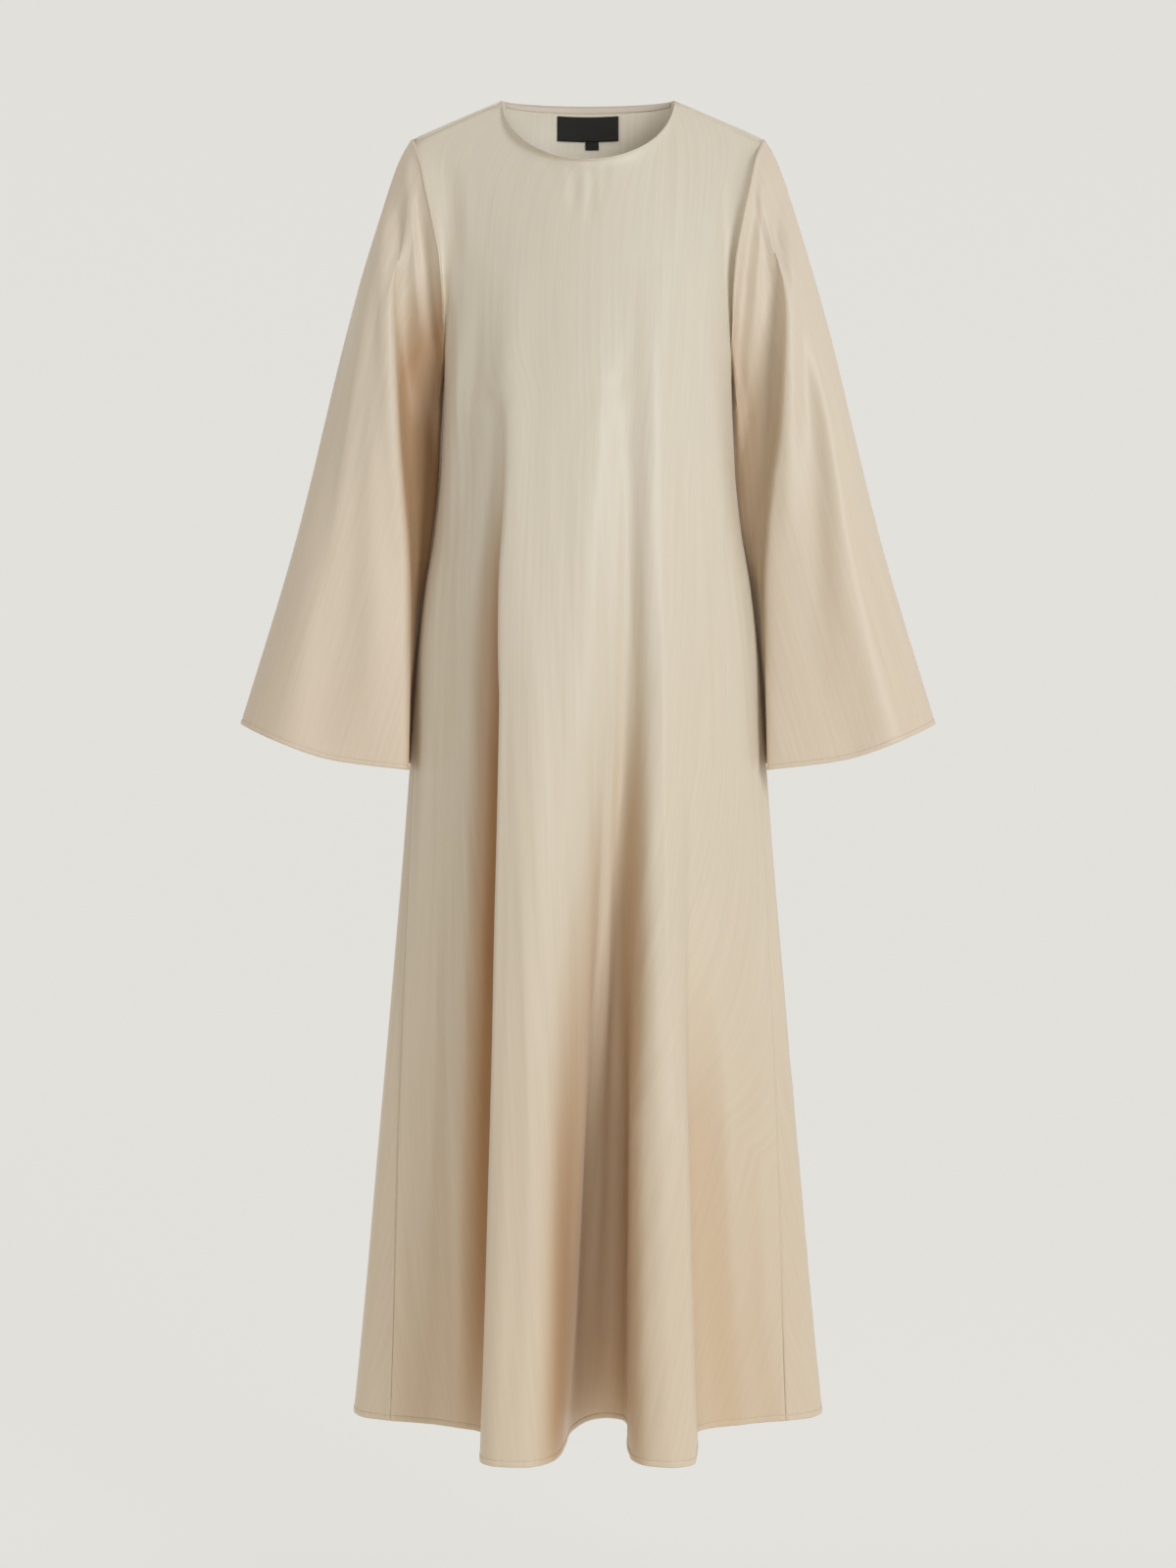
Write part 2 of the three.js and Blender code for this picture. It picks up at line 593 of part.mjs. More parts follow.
// The narrow band that lies on the back's own inner points, just under the neck edge
function bindingMesh(backGrids) {
  const outer = [];
  const inner = [];
  const top = backGrids.inner[0].length - 1;
  backGrids.inner.forEach((column, i) => {
    const edge = column[top];
    if (Math.abs(edge.x) > BINDING_REACH) return;
    const down = column[top - 1].clone().sub(edge);
    const inward = edge.clone().sub(backGrids.outer[i][top]).normalize();
    const level = Math.sqrt(1 - (edge.x / NECK_HALF_WIDTH) ** 2);
    const depth = BINDING_DEPTH * (BINDING_END_SHARE + (1 - BINDING_END_SHARE) * level);
    const along = (length) => edge.clone().addScaledVector(down, length / down.length());
    const ends = [along(depth), along(SEAM_GAP)];
    outer.push(ends.map((point) => point.clone().addScaledVector(inward, BINDING_GAP)));
    inner.push(ends.map((point) => point.clone().addScaledVector(inward, BINDING_GAP + BINDING_WALL)));
  });
  const geometry = shellGeometry(outer, inner, false);
  return namedMesh('back_neck_binding', geometry, clothMaterial(BINDING_COLOUR, CLOTH_ROUGHNESS));
}

// A woven piece that hangs inside the back neck, laid on the back's inner face
function trimMesh(name, backMesh, size) {
  const finder = new THREE.Raycaster();
  const backwards = new THREE.Vector3(0, 1, 0);
  const place = (x, z, inset) => {
    finder.set(new THREE.Vector3(x, 0, z), backwards);
    const y = finder.intersectObject(backMesh)[0].point.y;
    return new THREE.Vector3(x, y - SEAM_GAP - inset, z);
  };
  const left = size.centre - size.width / 2;
  const columns = Array.from({ length: size.steps + 1 }, (_, i) => left + (size.width * i) / size.steps);
  const levels = [size.top - size.depth, size.top];
  const outer = columns.map((x) => levels.map((z) => place(x, z, 0)));
  const inner = columns.map((x) => levels.map((z) => place(x, z, TRIM_WALL)));
  const geometry = shellGeometry(outer, inner, false);
  return namedMesh(name, geometry, clothMaterial(LABEL_COLOUR, LABEL_ROUGHNESS));
}

const front = panelMesh('front', panelGrids(frontPanel, frontNormal, FRONT_GRID));
const backGrids = panelGrids(backPanel, backNormal, BACK_GRID);
const back = panelMesh('back', backGrids);
const label = { centre: 0, width: LABEL_WIDTH, top: LABEL_TOP, depth: LABEL_DEPTH, steps: LABEL_STEPS };
const tab = {
  centre: TAB_CENTRE,
  width: TAB_WIDTH,
  top: LABEL_TOP - LABEL_DEPTH - SEAM_GAP,
  depth: TAB_DEPTH,
  steps: TAB_STEPS,
};

const abaya = new THREE.Group();
abaya.add(front);
abaya.add(back);
abaya.add(sleeveMesh('sleeve_left', -1));
abaya.add(sleeveMesh('sleeve_right', 1));
abaya.add(bindingMesh(backGrids));
abaya.add(trimMesh('label', back, label));
abaya.add(trimMesh('size_tab', back, tab));

export default abaya;
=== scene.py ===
import math

import bpy
import numpy as np
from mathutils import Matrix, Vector
from mathutils.bvhtree import BVHTree


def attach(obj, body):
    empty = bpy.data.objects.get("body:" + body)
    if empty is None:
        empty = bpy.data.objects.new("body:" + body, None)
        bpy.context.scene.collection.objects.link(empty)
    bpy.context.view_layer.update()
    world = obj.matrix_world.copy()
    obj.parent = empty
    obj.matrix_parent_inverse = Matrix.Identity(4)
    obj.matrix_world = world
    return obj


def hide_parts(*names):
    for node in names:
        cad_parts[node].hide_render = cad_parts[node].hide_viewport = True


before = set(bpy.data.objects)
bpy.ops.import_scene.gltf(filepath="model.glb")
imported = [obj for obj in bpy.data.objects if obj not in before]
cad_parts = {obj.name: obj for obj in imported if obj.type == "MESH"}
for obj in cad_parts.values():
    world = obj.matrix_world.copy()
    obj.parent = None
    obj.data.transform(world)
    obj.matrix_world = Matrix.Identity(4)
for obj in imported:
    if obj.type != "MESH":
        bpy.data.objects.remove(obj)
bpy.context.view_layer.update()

# Driving sizes, in millimetres, the same as the pattern's
MM = 0.001
GARMENT_LENGTH = 1372.0
NECK_HALF_WIDTH = 90.0
FRONT_NECK_DROP = 78.0
FRONT_NECK_FORWARD = 60.0
BACK_NECK_RISE = 11.0
BACK_NECK_BEHIND = 62.0
SHOULDER_POINT_OUT = 182.0
SHOULDER_POINT_DROP = 40.0
UNDERARM_DROP = 290.0
CLOTH_THICKNESS = 0.8
HEM_DEPTH = 6.0
CUFF_HEM_DEPTH = 5.0
BINDING_DEPTH = 7.0
LABEL_WIDTH = 65.0
LABEL_DEPTH = 28.0
LABEL_TOP = -1.5
TAB_WIDTH = 14.0
TAB_DEPTH = 9.0
TAB_CENTRE = 4.5
TAB_TUCK = 1.5

# Stitches: their spacing, length and width
HEM_STITCH = (3.4, 2.5, 0.42)
CUFF_STITCH = (3.2, 2.4, 0.42)
BINDING_STITCH = (3.0, 2.2, 0.36)
LABEL_STITCH = (2.6, 1.9, 0.34)

# Where the camera stood for the photograph
CAMERA_DISTANCE = 2400.0
CAMERA_HEIGHT = -713.0
CAMERA_LENS = 52.84
SENSOR = 36.0

HEM_Z = -GARMENT_LENGTH
CHEST_Z = -UNDERARM_DROP


def table(names, rows):
    """A short table: one list of numbers for each named column."""
    columns = list(zip(*rows))
    return {name: np.array(column, dtype=float) for name, column in zip(names, columns)}


# Half-width at the sides and depth in front and behind, without the folds
RINGS = table(("z", "side", "front", "behind"), (
    (-1372, 245, 100, 112),
    (-1286, 237, 101, 111),
    (-1070, 218.7, 106, 106),
    (-906, 205, 110, 102),
    (-750, 192.5, 114, 99),
    (-655, 185.5, 117, 96),
    (-578, 180, 119, 94),
    (-513, 172, 121, 92),
    (-447, 160, 122, 92),
    (-384, 153, 120, 93),
    (-290, 149.5, 115, 97),
    (-150, 149.5, 108, 99),
    (40, 149.5, 100, 92),
))

# The armhole from the shoulder point down to the underarm
ARMHOLE = table(("x", "z", "front", "behind"), (
    (182, -40, 0, 0),
    (173, -66, 23, 22),
    (165, -104, 36, 38),
    (158, -136, 42, 46),
    (150.5, -180, 45, 50),
    (148, -220, 41, 46),
    (147.5, -257, 29, 32),
    (149.5, -290, 0, 0),
))

# Fold lines of the front: the share of the half-width at the chest, then the
# place at the hem, across and forward
FRONT_LINES = table(("chest", "x", "out"), (
    (-1, -205, 19),  # side seam
    (-0.93, -164, 30),  # left panel outer
    (-0.82, -136, 44),  # left panel
    (-0.68, -114, 55),  # left hollow
    (-0.6, -103, 72),  # left pipe foot
    (-0.57, -106, 122),  # left pipe wall
    (-0.545, -105, 162),  # left pipe edge
    (-0.47, -88, 180),  # left pipe crest
    (-0.3, -61, 182),  # left pipe front
    (-0.06, -36, 165),  # left pipe shoulder
    (0.1, -24, 124),  # left pipe inner wall
    (0.21, -19, 72),  # left pipe inner foot
    (0.29, -4, 26),  # centre hollow left
    (0.35, 19, 8),  # centre hollow
    (0.39, 36, 16),  # centre hollow right
    (0.42, 41, 52),  # right pipe foot
    (0.44, 39, 106),  # right pipe wall
    (0.457, 41, 150),  # right pipe edge
    (0.48, 56, 176),  # right pipe crest
    (0.51, 82, 183),  # right pipe front
    (0.55, 104, 168),  # right pipe ridge
    (0.585, 109, 112),  # right pipe outer wall
    (0.63, 111, 62),  # right pipe outer foot
    (0.71, 126, 46),  # right hollow
    (0.83, 157, 34),  # right panel
    (0.93, 184, 24),  # right panel outer
    (1, 205, 19),  # side seam
))

# Fold lines of the back, in the same way, with out counted backwards
BACK_LINES = table(("chest", "x", "out"), (
    (-1, -205, -19),  # side seam
    (-0.997, -234, -5),  # left side turn
    (-0.985, -246, 17),  # left side
    (-0.95, -247, 46),  # left side pipe
    (-0.88, -228, 82),  # left side pipe back
    (-0.73, -187, 88),  # left hollow
    (-0.62, -157, 116),  # left pipe outer
    (-0.5, -126, 158),  # left pipe crest
    (-0.37, -92, 142),  # left pipe inner
    (-0.22, -58, 95),  # centre hollow left
    (-0.08, -24, 120),  # centre pipe left
    (0.04, 8, 156),  # centre pipe crest
    (0.17, 44, 136),  # centre pipe right
    (0.3, 71, 88),  # centre hollow right
    (0.42, 99, 122),  # right pipe inner
    (0.54, 133, 165),  # right pipe crest
    (0.66, 165, 136),  # right pipe outer
    (0.77, 192, 93),  # right hollow
    (0.89, 226, 84),  # right side pipe back
    (0.95, 247, 46),  # right side pipe
    (0.985, 246, 17),  # right side
    (0.997, 234, -5),  # right side turn
    (1, 205, -19),  # side seam
))

# Lines down a sleeve: the share of the armhole where each starts (2 is all the
# way round), its distance out and forward at 30 % and 70 % of the length and at
# the hem, and the height of the hem there
SLEEVE_LINES = table(("arm", "x3", "f3", "x7", "f7", "x_hem", "f_hem", "z_hem"), (
    (0, 243, 0, 306, 0, 361.5, 0, -650),  # overarm
    (0.06, 228, 34, 274, 46, 319, 50, -669),  # outer crest
    (0.1, 214, 42, 240, 39, 264, 44, -688),  # valley
    (0.15, 201, 47, 188, 31, 189, 36, -698),  # fold edge
    (0.27, 190, 24, 181, 13, 190, 19, -697),  # inner fold
    (0.6, 168, 6, 178, 0, 190.5, 4, -695),  # inner
    (1, 157.5, -12, 180.5, -12, 192, -11, -692),  # underarm
    (1.38, 155, -38, 177, -42, 190, -42, -690),  # inner back
    (1.66, 206, -60, 230, -68, 252, -66, -682),  # back
    (1.88, 228, -40, 279, -50, 320, -48, -666),  # outer back
))
SLEEVE_STATIONS = np.array([0.0, 0.3, 0.7, 1.0])

# How the cloth rounds and folds between the sections, as powers, shares and millimetres
CHEST_SQUARENESS = 2.8
SEAM_EDGE_POWER = 12
SOFT_EDGE_POWER = 4
EASED_EDGE_POWER = 8
SHOULDER_SHARE = 0.8
NECK_SHARE = 0.5
FOLD_SPREAD = 0.65
SEAM_SPREAD = 1.7
FOLD_DEEPENING = 1.15
CROWN_POWER = 2.2
CROWN_ROUND = 0.5
SOFTENING = np.array([1, 6, 15, 20, 15, 6, 1]) / 64.0
SOFTENING_SPREAD = 0.9
CAP_PUFF = 11.0
CAP_RISE = 0.035
CAP_FADE = 0.24
SLEEVE_CLEARANCE = 0.5


def smooth_curve(knots, values):
    """A smooth curve through the knots that never overshoots them."""
    knots = np.asarray(knots, dtype=float)
    values = np.asarray(values, dtype=float)
    steps = np.diff(values, axis=0) / np.diff(knots).reshape((-1,) + (1,) * (values.ndim - 1))
    product = steps[:-1] * steps[1:]
    total = steps[:-1] + steps[1:]
    inner = np.where(product > 0, 2 * product / np.where(total == 0, 1, total), 0)
    slopes = np.concatenate([steps[:1], inner, steps[-1:]])

    def curve(at):
        at = np.asarray(at, dtype=float)
        i = np.clip(np.searchsorted(knots, at, side="right") - 1, 0, len(knots) - 2)
        span = knots[i + 1] - knots[i]
        t = np.clip((at - knots[i]) / span, 0, 1)
        start = values[i] * (2 * t ** 3 - 3 * t ** 2 + 1) + slopes[i] * span * (t ** 3 - 2 * t ** 2 + t)
        end = values[i + 1] * (3 * t ** 2 - 2 * t ** 3) + slopes[i + 1] * span * (t ** 3 - t ** 2)
        return start + end

    return curve


def curves_of(rows, knots, names):
    """A smooth curve for each named column."""
    return {name: smooth_curve(knots, rows[name]) for name in names}


def share_along(points):
    """Distance along a row of points, from 0 to 1."""
    lengths = np.linalg.norm(np.diff(points, axis=0), axis=1)
    along = np.concatenate([[0.0], np.cumsum(lengths)])
    return along / along[-1]


RING = curves_of(RINGS, RINGS["z"], ("side", "front", "behind"))
ARMHOLE_SHARES = share_along(np.stack([ARMHOLE["x"], ARMHOLE["front"], ARMHOLE["z"]], axis=1))
ARM = curves_of(ARMHOLE, ARMHOLE_SHARES, ("x", "z", "front", "behind"))


def top_edge(chest, facing):
    """The top edge of a panel above a share of the chest: x, y, z and roundness."""
    across = np.abs(chest)
    side = np.where(chest < 0, -1.0, 1.0)
    share = np.clip((across - SHOULDER_SHARE) / (1 - SHOULDER_SHARE), 0, 1)
    out = -ARM["front"](share) if facing < 0 else ARM["behind"](share)
    on_arm = across >= SHOULDER_SHARE
    run = np.clip((across - NECK_SHARE) / (SHOULDER_SHARE - NECK_SHARE), 0, 1)
    on_neck = across < NECK_SHARE
    angle = (math.pi / 2) * (1 - np.clip(across / NECK_SHARE, 0, 1))
    level = np.sin(angle)
    neck_out = -FRONT_NECK_FORWARD if facing < 0 else BACK_NECK_BEHIND
    neck_rise = -FRONT_NECK_DROP if facing < 0 else BACK_NECK_RISE
    shoulder_x = NECK_HALF_WIDTH + run * (SHOULDER_POINT_OUT - NECK_HALF_WIDTH)
    x = np.where(on_arm, ARM["x"](share), np.where(on_neck, NECK_HALF_WIDTH * np.cos(angle), shoulder_x))
    y = np.where(on_arm, out, np.where(on_neck, neck_out * level, 0))
    z = np.where(on_arm, ARM["z"](share), np.where(on_neck, neck_rise * level, -run * SHOULDER_POINT_DROP))
    flat = np.where(on_neck, (1 - CROWN_ROUND) * np.minimum(1, 2 * level), 0)
    return side * x, y, z, CROWN_ROUND + flat


def soft_top_edge(chest, facing, spread):
    """The top edge averaged over its neighbours, so that its corners fade out."""
    total = [0.0, 0.0, 0.0, 0.0]
    for i, weight in enumerate(SOFTENING):
        shifted = np.clip(chest + spread * (i / (len(SOFTENING) - 1) - 0.5), -1, 1)
        for k, value in enumerate(top_edge(shifted, facing)):
            total[k] = total[k] + weight * value
    return total


class Panel:
    """The front or the back, as a surface over shares across and heights."""

    def __init__(self, lines, facing):
        self.facing = facing
        self.depth = RING["front"] if facing < 0 else RING["behind"]
        knots = share_along(np.stack([lines["x"], lines["out"]], axis=1))
        self.line = curves_of(lines, knots, ("chest", "x", "out"))

    def plain(self, chest, z):
        """Across and out for the body without its folds."""
        bulge = np.sqrt(np.maximum(0, 1 - np.abs(chest) ** CHEST_SQUARENESS))
        return RING["side"](z) * chest, self.depth(z) * bulge

    def surface(self, s, z):
        """Points at shares s across (a column each) and heights z (columns by rows)."""
        chest = self.line["chest"](s)[:, None] + 0 * z
        top_x, top_y, top_z, _ = top_edge(chest, self.facing)
        x, out = self.plain(chest, z)
        hem_x, hem_out = self.plain(chest, HEM_Z + 0 * z)
        grown = np.clip((CHEST_Z - z) / (CHEST_Z - HEM_Z), 0, 1)
        edge = np.abs(chest) ** SEAM_EDGE_POWER
        spread = grown ** (FOLD_SPREAD + (SEAM_SPREAD - FOLD_SPREAD) * edge)
        x = x + (self.line["x"](s)[:, None] - hem_x) * spread
        out = out + (self.line["out"](s)[:, None] - hem_out) * grown ** FOLD_DEEPENING
        y = self.facing * out
        below = 1 - np.clip((z - CHEST_Z) / np.maximum(top_z - CHEST_Z, 1e-6), 0, 1)
        spread = SOFTENING_SPREAD * below * (1 - np.abs(chest) ** SOFT_EDGE_POWER)
        soft_x, soft_y, soft_z, soft_round = soft_top_edge(chest, self.facing, spread)
        risen = np.clip((z - CHEST_Z) / np.maximum(soft_z - CHEST_Z, 1e-6), 0, 1)
        crown_x, crown_out = self.plain(chest, soft_z)
        turned = 1 - np.maximum(0, 1 - risen ** CROWN_POWER) ** soft_round
        x = x + (soft_x - crown_x) * risen ** 2
        y = y + (soft_y - self.facing * crown_out) * turned
        return np.stack([x, y, z], axis=-1)

    def top_heights(self, s):
        return top_edge(self.line["chest"](s), self.facing)[2]


FRONT = Panel(FRONT_LINES, -1)
BACK = Panel(BACK_LINES, 1)


def around_curve(values, turn):
    """A smooth closed curve through values at even places around a sleeve."""
    count = len(values)
    at = np.asarray(turn) * count
    i = np.floor(at).astype(int)
    t = at - i
    a, b, c, d = (values[(i + step) % count] for step in (-1, 0, 1, 2))
    return b + 0.5 * t * (c - a + t * (2 * a - 5 * b + 4 * c - d + t * (3 * (b - c) + d - a)))


def sleeve_surface(side, turn, along):
    """Points of a sleeve at turns around (a column each) and shares along (rows)."""
    count = len(SLEEVE_LINES["arm"])
    unroll = smooth_curve(np.arange(count + 1) / count, np.append(SLEEVE_LINES["arm"], 2.0))
    arm = unroll(turn)
    share = np.where(arm > 1, 2 - arm, arm)
    start_out = np.where(arm > 1, -ARM["behind"](share), ARM["front"](share))
    columns = {name: around_curve(SLEEVE_LINES[name], turn) for name in SLEEVE_LINES}
    outs = [ARM["x"](share), columns["x3"], columns["x7"], columns["x_hem"]]
    forwards = [start_out, columns["f3"], columns["f7"], columns["f_hem"]]
    out = smooth_curve(SLEEVE_STATIONS, np.stack(outs))
    forward = smooth_curve(SLEEVE_STATIONS, np.stack(forwards))
    x = np.stack([out(t) for t in along], axis=1)
    f = np.stack([forward(t) for t in along], axis=1)
    puff = CAP_PUFF * (1 - np.exp(-along / CAP_RISE)) * np.exp(-along / CAP_FADE)
    overarm = np.maximum(0, np.cos(turn * 2 * math.pi))
    start_z = ARM["z"](share)
    z = start_z[:, None] + (columns["z_hem"] - start_z)[:, None] * along[None, :]
    x = side * (x + SLEEVE_CLEARANCE + puff[None, :] * overarm[:, None])
    return np.stack([x, -f, z], axis=-1)


# Grids of points


def grid_normals(points, closed=False, flip=1.0):
    """Unit normals of a grid of points, columns by rows."""
    if closed:
        across = np.roll(points, -1, axis=0) - np.roll(points, 1, axis=0)
    else:
        across = np.gradient(points, axis=0)
    up = np.gradient(points, axis=1)
    normal = np.cross(across, up) * flip
    length = np.linalg.norm(normal, axis=-1, keepdims=True)
    return normal / np.maximum(length, 1e-12)


def distance_up(points):
    """Distance along each column from its first row."""
    lengths = np.linalg.norm(np.diff(points, axis=1), axis=-1)
    return np.concatenate([np.zeros((points.shape[0], 1)), np.cumsum(lengths, axis=1)], axis=1)


def distance_across(points):
    """Distance along each row from its first column."""
    lengths = np.linalg.norm(np.diff(points, axis=0), axis=-1)
    return np.concatenate([np.zeros((1, points.shape[1])), np.cumsum(lengths, axis=0)], axis=0)


def distance_round(points):
    """Distance round each row of a closed grid from its first column."""
    return distance_across(np.concatenate([points, points[:1]], axis=0))[:-1]


def bump(distance, width):
    """A soft hill one unit high, about two widths across."""
    return np.exp(-(distance / width) ** 2)


# Pressed edges: how high or deep each ridge, groove and rolled lip is, and how wide
SEAM_RIDGE_AT = 3.0
SEAM_RIDGE = (0.8, 1.6)
SEAM_LIP = (1.1, 0.9)
HEM_LIFT = 0.35
HEM_GROOVE = (0.45, 0.7)
HEM_LIP = (0.5, 0.5)
NECK_TURN = 1.8
NECK_LIFT = 0.22
NECK_GROOVE_AT = 2.4
NECK_GROOVE = (0.3, 0.6)
NECK_LIP = (0.3, 0.4)
TURN_STEP = 0.25


def seam_roll(distance):
    """Height of the cloth beside a pressed seam: a low ridge that rolls in."""
    ridge = SEAM_RIDGE[0] * bump(distance - SEAM_RIDGE_AT, SEAM_RIDGE[1])
    return ridge - SEAM_LIP[0] * np.exp(-distance / SEAM_LIP[1])


def turned_roll(distance, end, lift, groove_at, groove, lip):
    """Height of the cloth over a turned edge whose inner layer ends at a distance."""
    turned = lift / (1 + np.exp((distance - end) / TURN_STEP))
    grooved = groove[0] * bump(distance - groove_at, groove[1])
    return turned - grooved - lip[0] * np.exp(-distance / lip[1])


def hem_roll(distance, depth):
    """Height of the cloth over a turned hem, with the stitches pulled in."""
    return turned_roll(distance, depth, HEM_LIFT, depth, HEM_GROOVE, HEM_LIP)


def neck_roll(distance):
    """Height of the cloth over the turned and pressed neck edge."""
    return turned_roll(distance, NECK_TURN, NECK_LIFT, NECK_GROOVE_AT, NECK_GROOVE, NECK_LIP)


# Rows and columns that lie close together by the hems and seams, in millimetres
HEM_LEAD = np.array([0.0, 0.8, 1.8, 3.2, 4.6, 5.4, 6.0, 6.6, 7.4, 9.0])
SEAM_LEAD = np.array([0.0, 0.7, 1.5, 2.6, 4.2, 6.5])
SEAM_LEAD_REACH = 1.4
HEM_ROUND = 950.0
TOP_CLOSENESS = 1.45

# Where bends are eased out of the body: from a height up, over a height, by points
# so many places away, so many times
BACK_EASE_FROM = -500.0
FRONT_EASE_FROM = -350.0
BODY_EASE_HEIGHT = 160.0
BODY_EASE_REACHES = (12, 6, 3, 1)
BODY_EASE_ROUNDS = 10
HOLLOW_EASE_FROM = -1050.0
HOLLOW_EASE_HEIGHT = 500.0
HOLLOW_EASE_SHARE = 0.15
HOLLOW_EASE_REACHES = (6, 3, 1)
HOLLOW_EASE_ROUNDS = 6


def panel_columns(panel, count):
    """Shares across, even along the hem and the top together, close at the seams."""
    samples = np.linspace(0, 1, 1200)
    top = np.stack(top_edge(panel.line["chest"](samples), panel.facing)[:3], axis=1)
    both = (samples + share_along(top)) / 2
    even = np.interp(np.linspace(0, 1, count), both, samples)
    close = SEAM_LEAD / HEM_ROUND
    margin = close[-1] * SEAM_LEAD_REACH
    inner = even[(even > margin) & (even < 1 - margin)]
    return np.concatenate([close, inner, 1 - close[::-1]])


def panel_grid(panel, columns, rows):
    """Base points of a panel with close rows at the hem and the top edge."""
    s = panel_columns(panel, columns)
    share = 1 - (1 - np.linspace(0, 1, rows)) ** TOP_CLOSENESS
    tops = panel.top_heights(s)
    start = HEM_Z + HEM_LEAD[-1]
    z = start + (tops[:, None] - start) * share[None, 1:]
    z = np.concatenate([np.repeat((HEM_Z + HEM_LEAD)[None, :], len(s), axis=0), z], axis=1)
    base = panel.surface(s, z)
    chest = panel.line["chest"](s)[:, None]
    inside = 1 - np.abs(chest) ** EASED_EDGE_POWER
    inside[[0, -1]] = 0
    ease_from = BACK_EASE_FROM if panel.facing > 0 else FRONT_EASE_FROM
    high = np.clip((base[..., 2] - ease_from) / BODY_EASE_HEIGHT, 0, 1)
    weight = high ** 2 * (3 - 2 * high) * inside
    weight[:, [0, -1]] = 0
    base = relaxed(base, weight, BODY_EASE_REACHES, BODY_EASE_ROUNDS)
    if panel.facing < 0:
        risen = np.clip((base[..., 2] - HOLLOW_EASE_FROM) / HOLLOW_EASE_HEIGHT, 0, 1)
        below = risen * np.clip((chest - HOLLOW_EASE_SHARE) / HOLLOW_EASE_SHARE, 0, 1)
        below[:, -1] = 0
        base = relaxed(base, below * inside, HOLLOW_EASE_REACHES, HOLLOW_EASE_ROUNDS)
    return s, base


# Creases, in the plane seen from the front: from a point to a
# point (x, z), how wide, and how far out (a trough is negative)
FRONT_CREASES = (
    ((-15, -66), (-14, -136), 6.0, -2.4),
    ((-5, -64), (-4, -122), 4.5, 1.0),
    ((4, -64), (3, -150), 6.0, -2.2),
    ((18, -62), (15, -126), 5.5, -1.5),
    ((-36, -70), (-33, -116), 8.0, -0.8),
    ((-146, -58), (-139, -190), 10.0, -3.2),
    ((-126, -60), (-122, -180), 9.0, 1.4),
    ((146, -58), (140, -176), 10.0, -1.6),
    ((132, -80), (129, -190), 9.0, 1.8),
    ((-78, -190), (-80, -620), 17.0, 6.0),
    ((66, -190), (61, -620), 17.0, 6.0),
    ((-126, -200), (-148, -470), 10.0, 2.8),
    ((-112, -230), (-124, -440), 9.0, -1.6),
    ((104, -196), (128, -380), 10.0, -1.8),
    ((116, -220), (140, -470), 10.0, 2.2),
    ((-142, -430), (-165, -900), 14.0, -3.2),
    ((128, -470), (150, -1000), 14.0, -2.6),
    ((150, -520), (176, -1050), 11.0, 2.2),
    ((-30, -520), (-26, -1240), 20.0, -2.2),
    ((-60, -420), (-58, -1200), 16.0, 1.8),
    ((62, -620), (72, -1200), 13.0, 1.8),
    ((-178, -900), (-188, -1330), 10.0, -1.6),
    ((176, -960), (186, -1340), 10.0, 1.6),
)
# Creases that follow the cloth: the share of the chest where each starts, the
# heights where it starts and ends, how wide and how far out
FRONT_FOLDS = (
    (-0.645, -320, -1352, 15.0, -19.0),
    (-0.535, -400, -1340, 4.0, 2.6),
    (0.18, -320, -1350, 24.0, 14.0),
    (0.31, -380, -1350, 16.0, 11.0),
    (0.535, -430, -1340, 5.0, 2.2),
    (0.63, -700, -1345, 11.0, -4.0),
    (-0.93, -520, -1340, 8.0, 1.8),
    (0.8, -480, -1340, 12.0, 2.0),
)
BACK_FOLDS = (
    (-0.73, -420, -1352, 13.0, -6.0),
    (-0.22, -400, -1352, 13.0, -6.0),
    (0.3, -430, -1350, 13.0, -6.0),
    (0.77, -420, -1352, 12.0, -6.0),
)
BACK_CREASES = (
    ((-140, -62), (-132, -190), 11.0, -2.4),
    ((138, -60), (130, -186), 11.0, -2.2),
    ((-60, -60), (-70, -240), 16.0, 1.6),
    ((64, -70), (78, -260), 16.0, 1.5),
    ((0, -120), (-6, -520), 18.0, -2.2),
    ((-118, -300), (-144, -760), 15.0, -2.6),
    ((120, -320), (146, -820), 15.0, -2.4),
    ((-24, -420), (-34, -1000), 15.0, 2.0),
    ((46, -500), (60, -1100), 15.0, -2.0),
    ((96, -620), (112, -1240), 14.0, 2.0),
    ((-92, -700), (-104, -1280), 14.0, -2.0),
)
# On the viewer's left sleeve; the other sleeve has its own
LEFT_SLEEVE_CREASES = (
    ((-199, -100), (-184, -340), 8.0, -5.5),
    ((-187, -60), (-172, -250), 6.5, 4.0),
    ((-172, -130), (-150, -350), 6.5, -7.0),
    ((-213, -80), (-196, -480), 9.0, 4.0),
    ((-220, -120), (-222, -690), 18.0, 6.0),
    ((-256, -200), (-280, -690), 18.0, -5.0),
)
RIGHT_SLEEVE_CREASES = (
    ((-196, -90), (-189, -390), 8.5, -7.0),
    ((-181, -60), (-170, -260), 6.5, 3.2),
    ((-168, -130), (-152, -350), 6.5, -6.5),
    ((-212, -90), (-204, -480), 9.0, 3.5),
    ((-230, -160), (-238, -560), 14.0, -3.2),
    ((-246, -300), (-262, -680), 15.0, 2.6),
    ((-280, -260), (-312, -640), 17.0, -2.4),
)


CREASE_FADE = 0.7


def fade_out(share):
    """From nothing at both ends of a crease to its full depth between them."""
    return np.sin(math.pi * np.clip(share, 0, 1)) ** CREASE_FADE


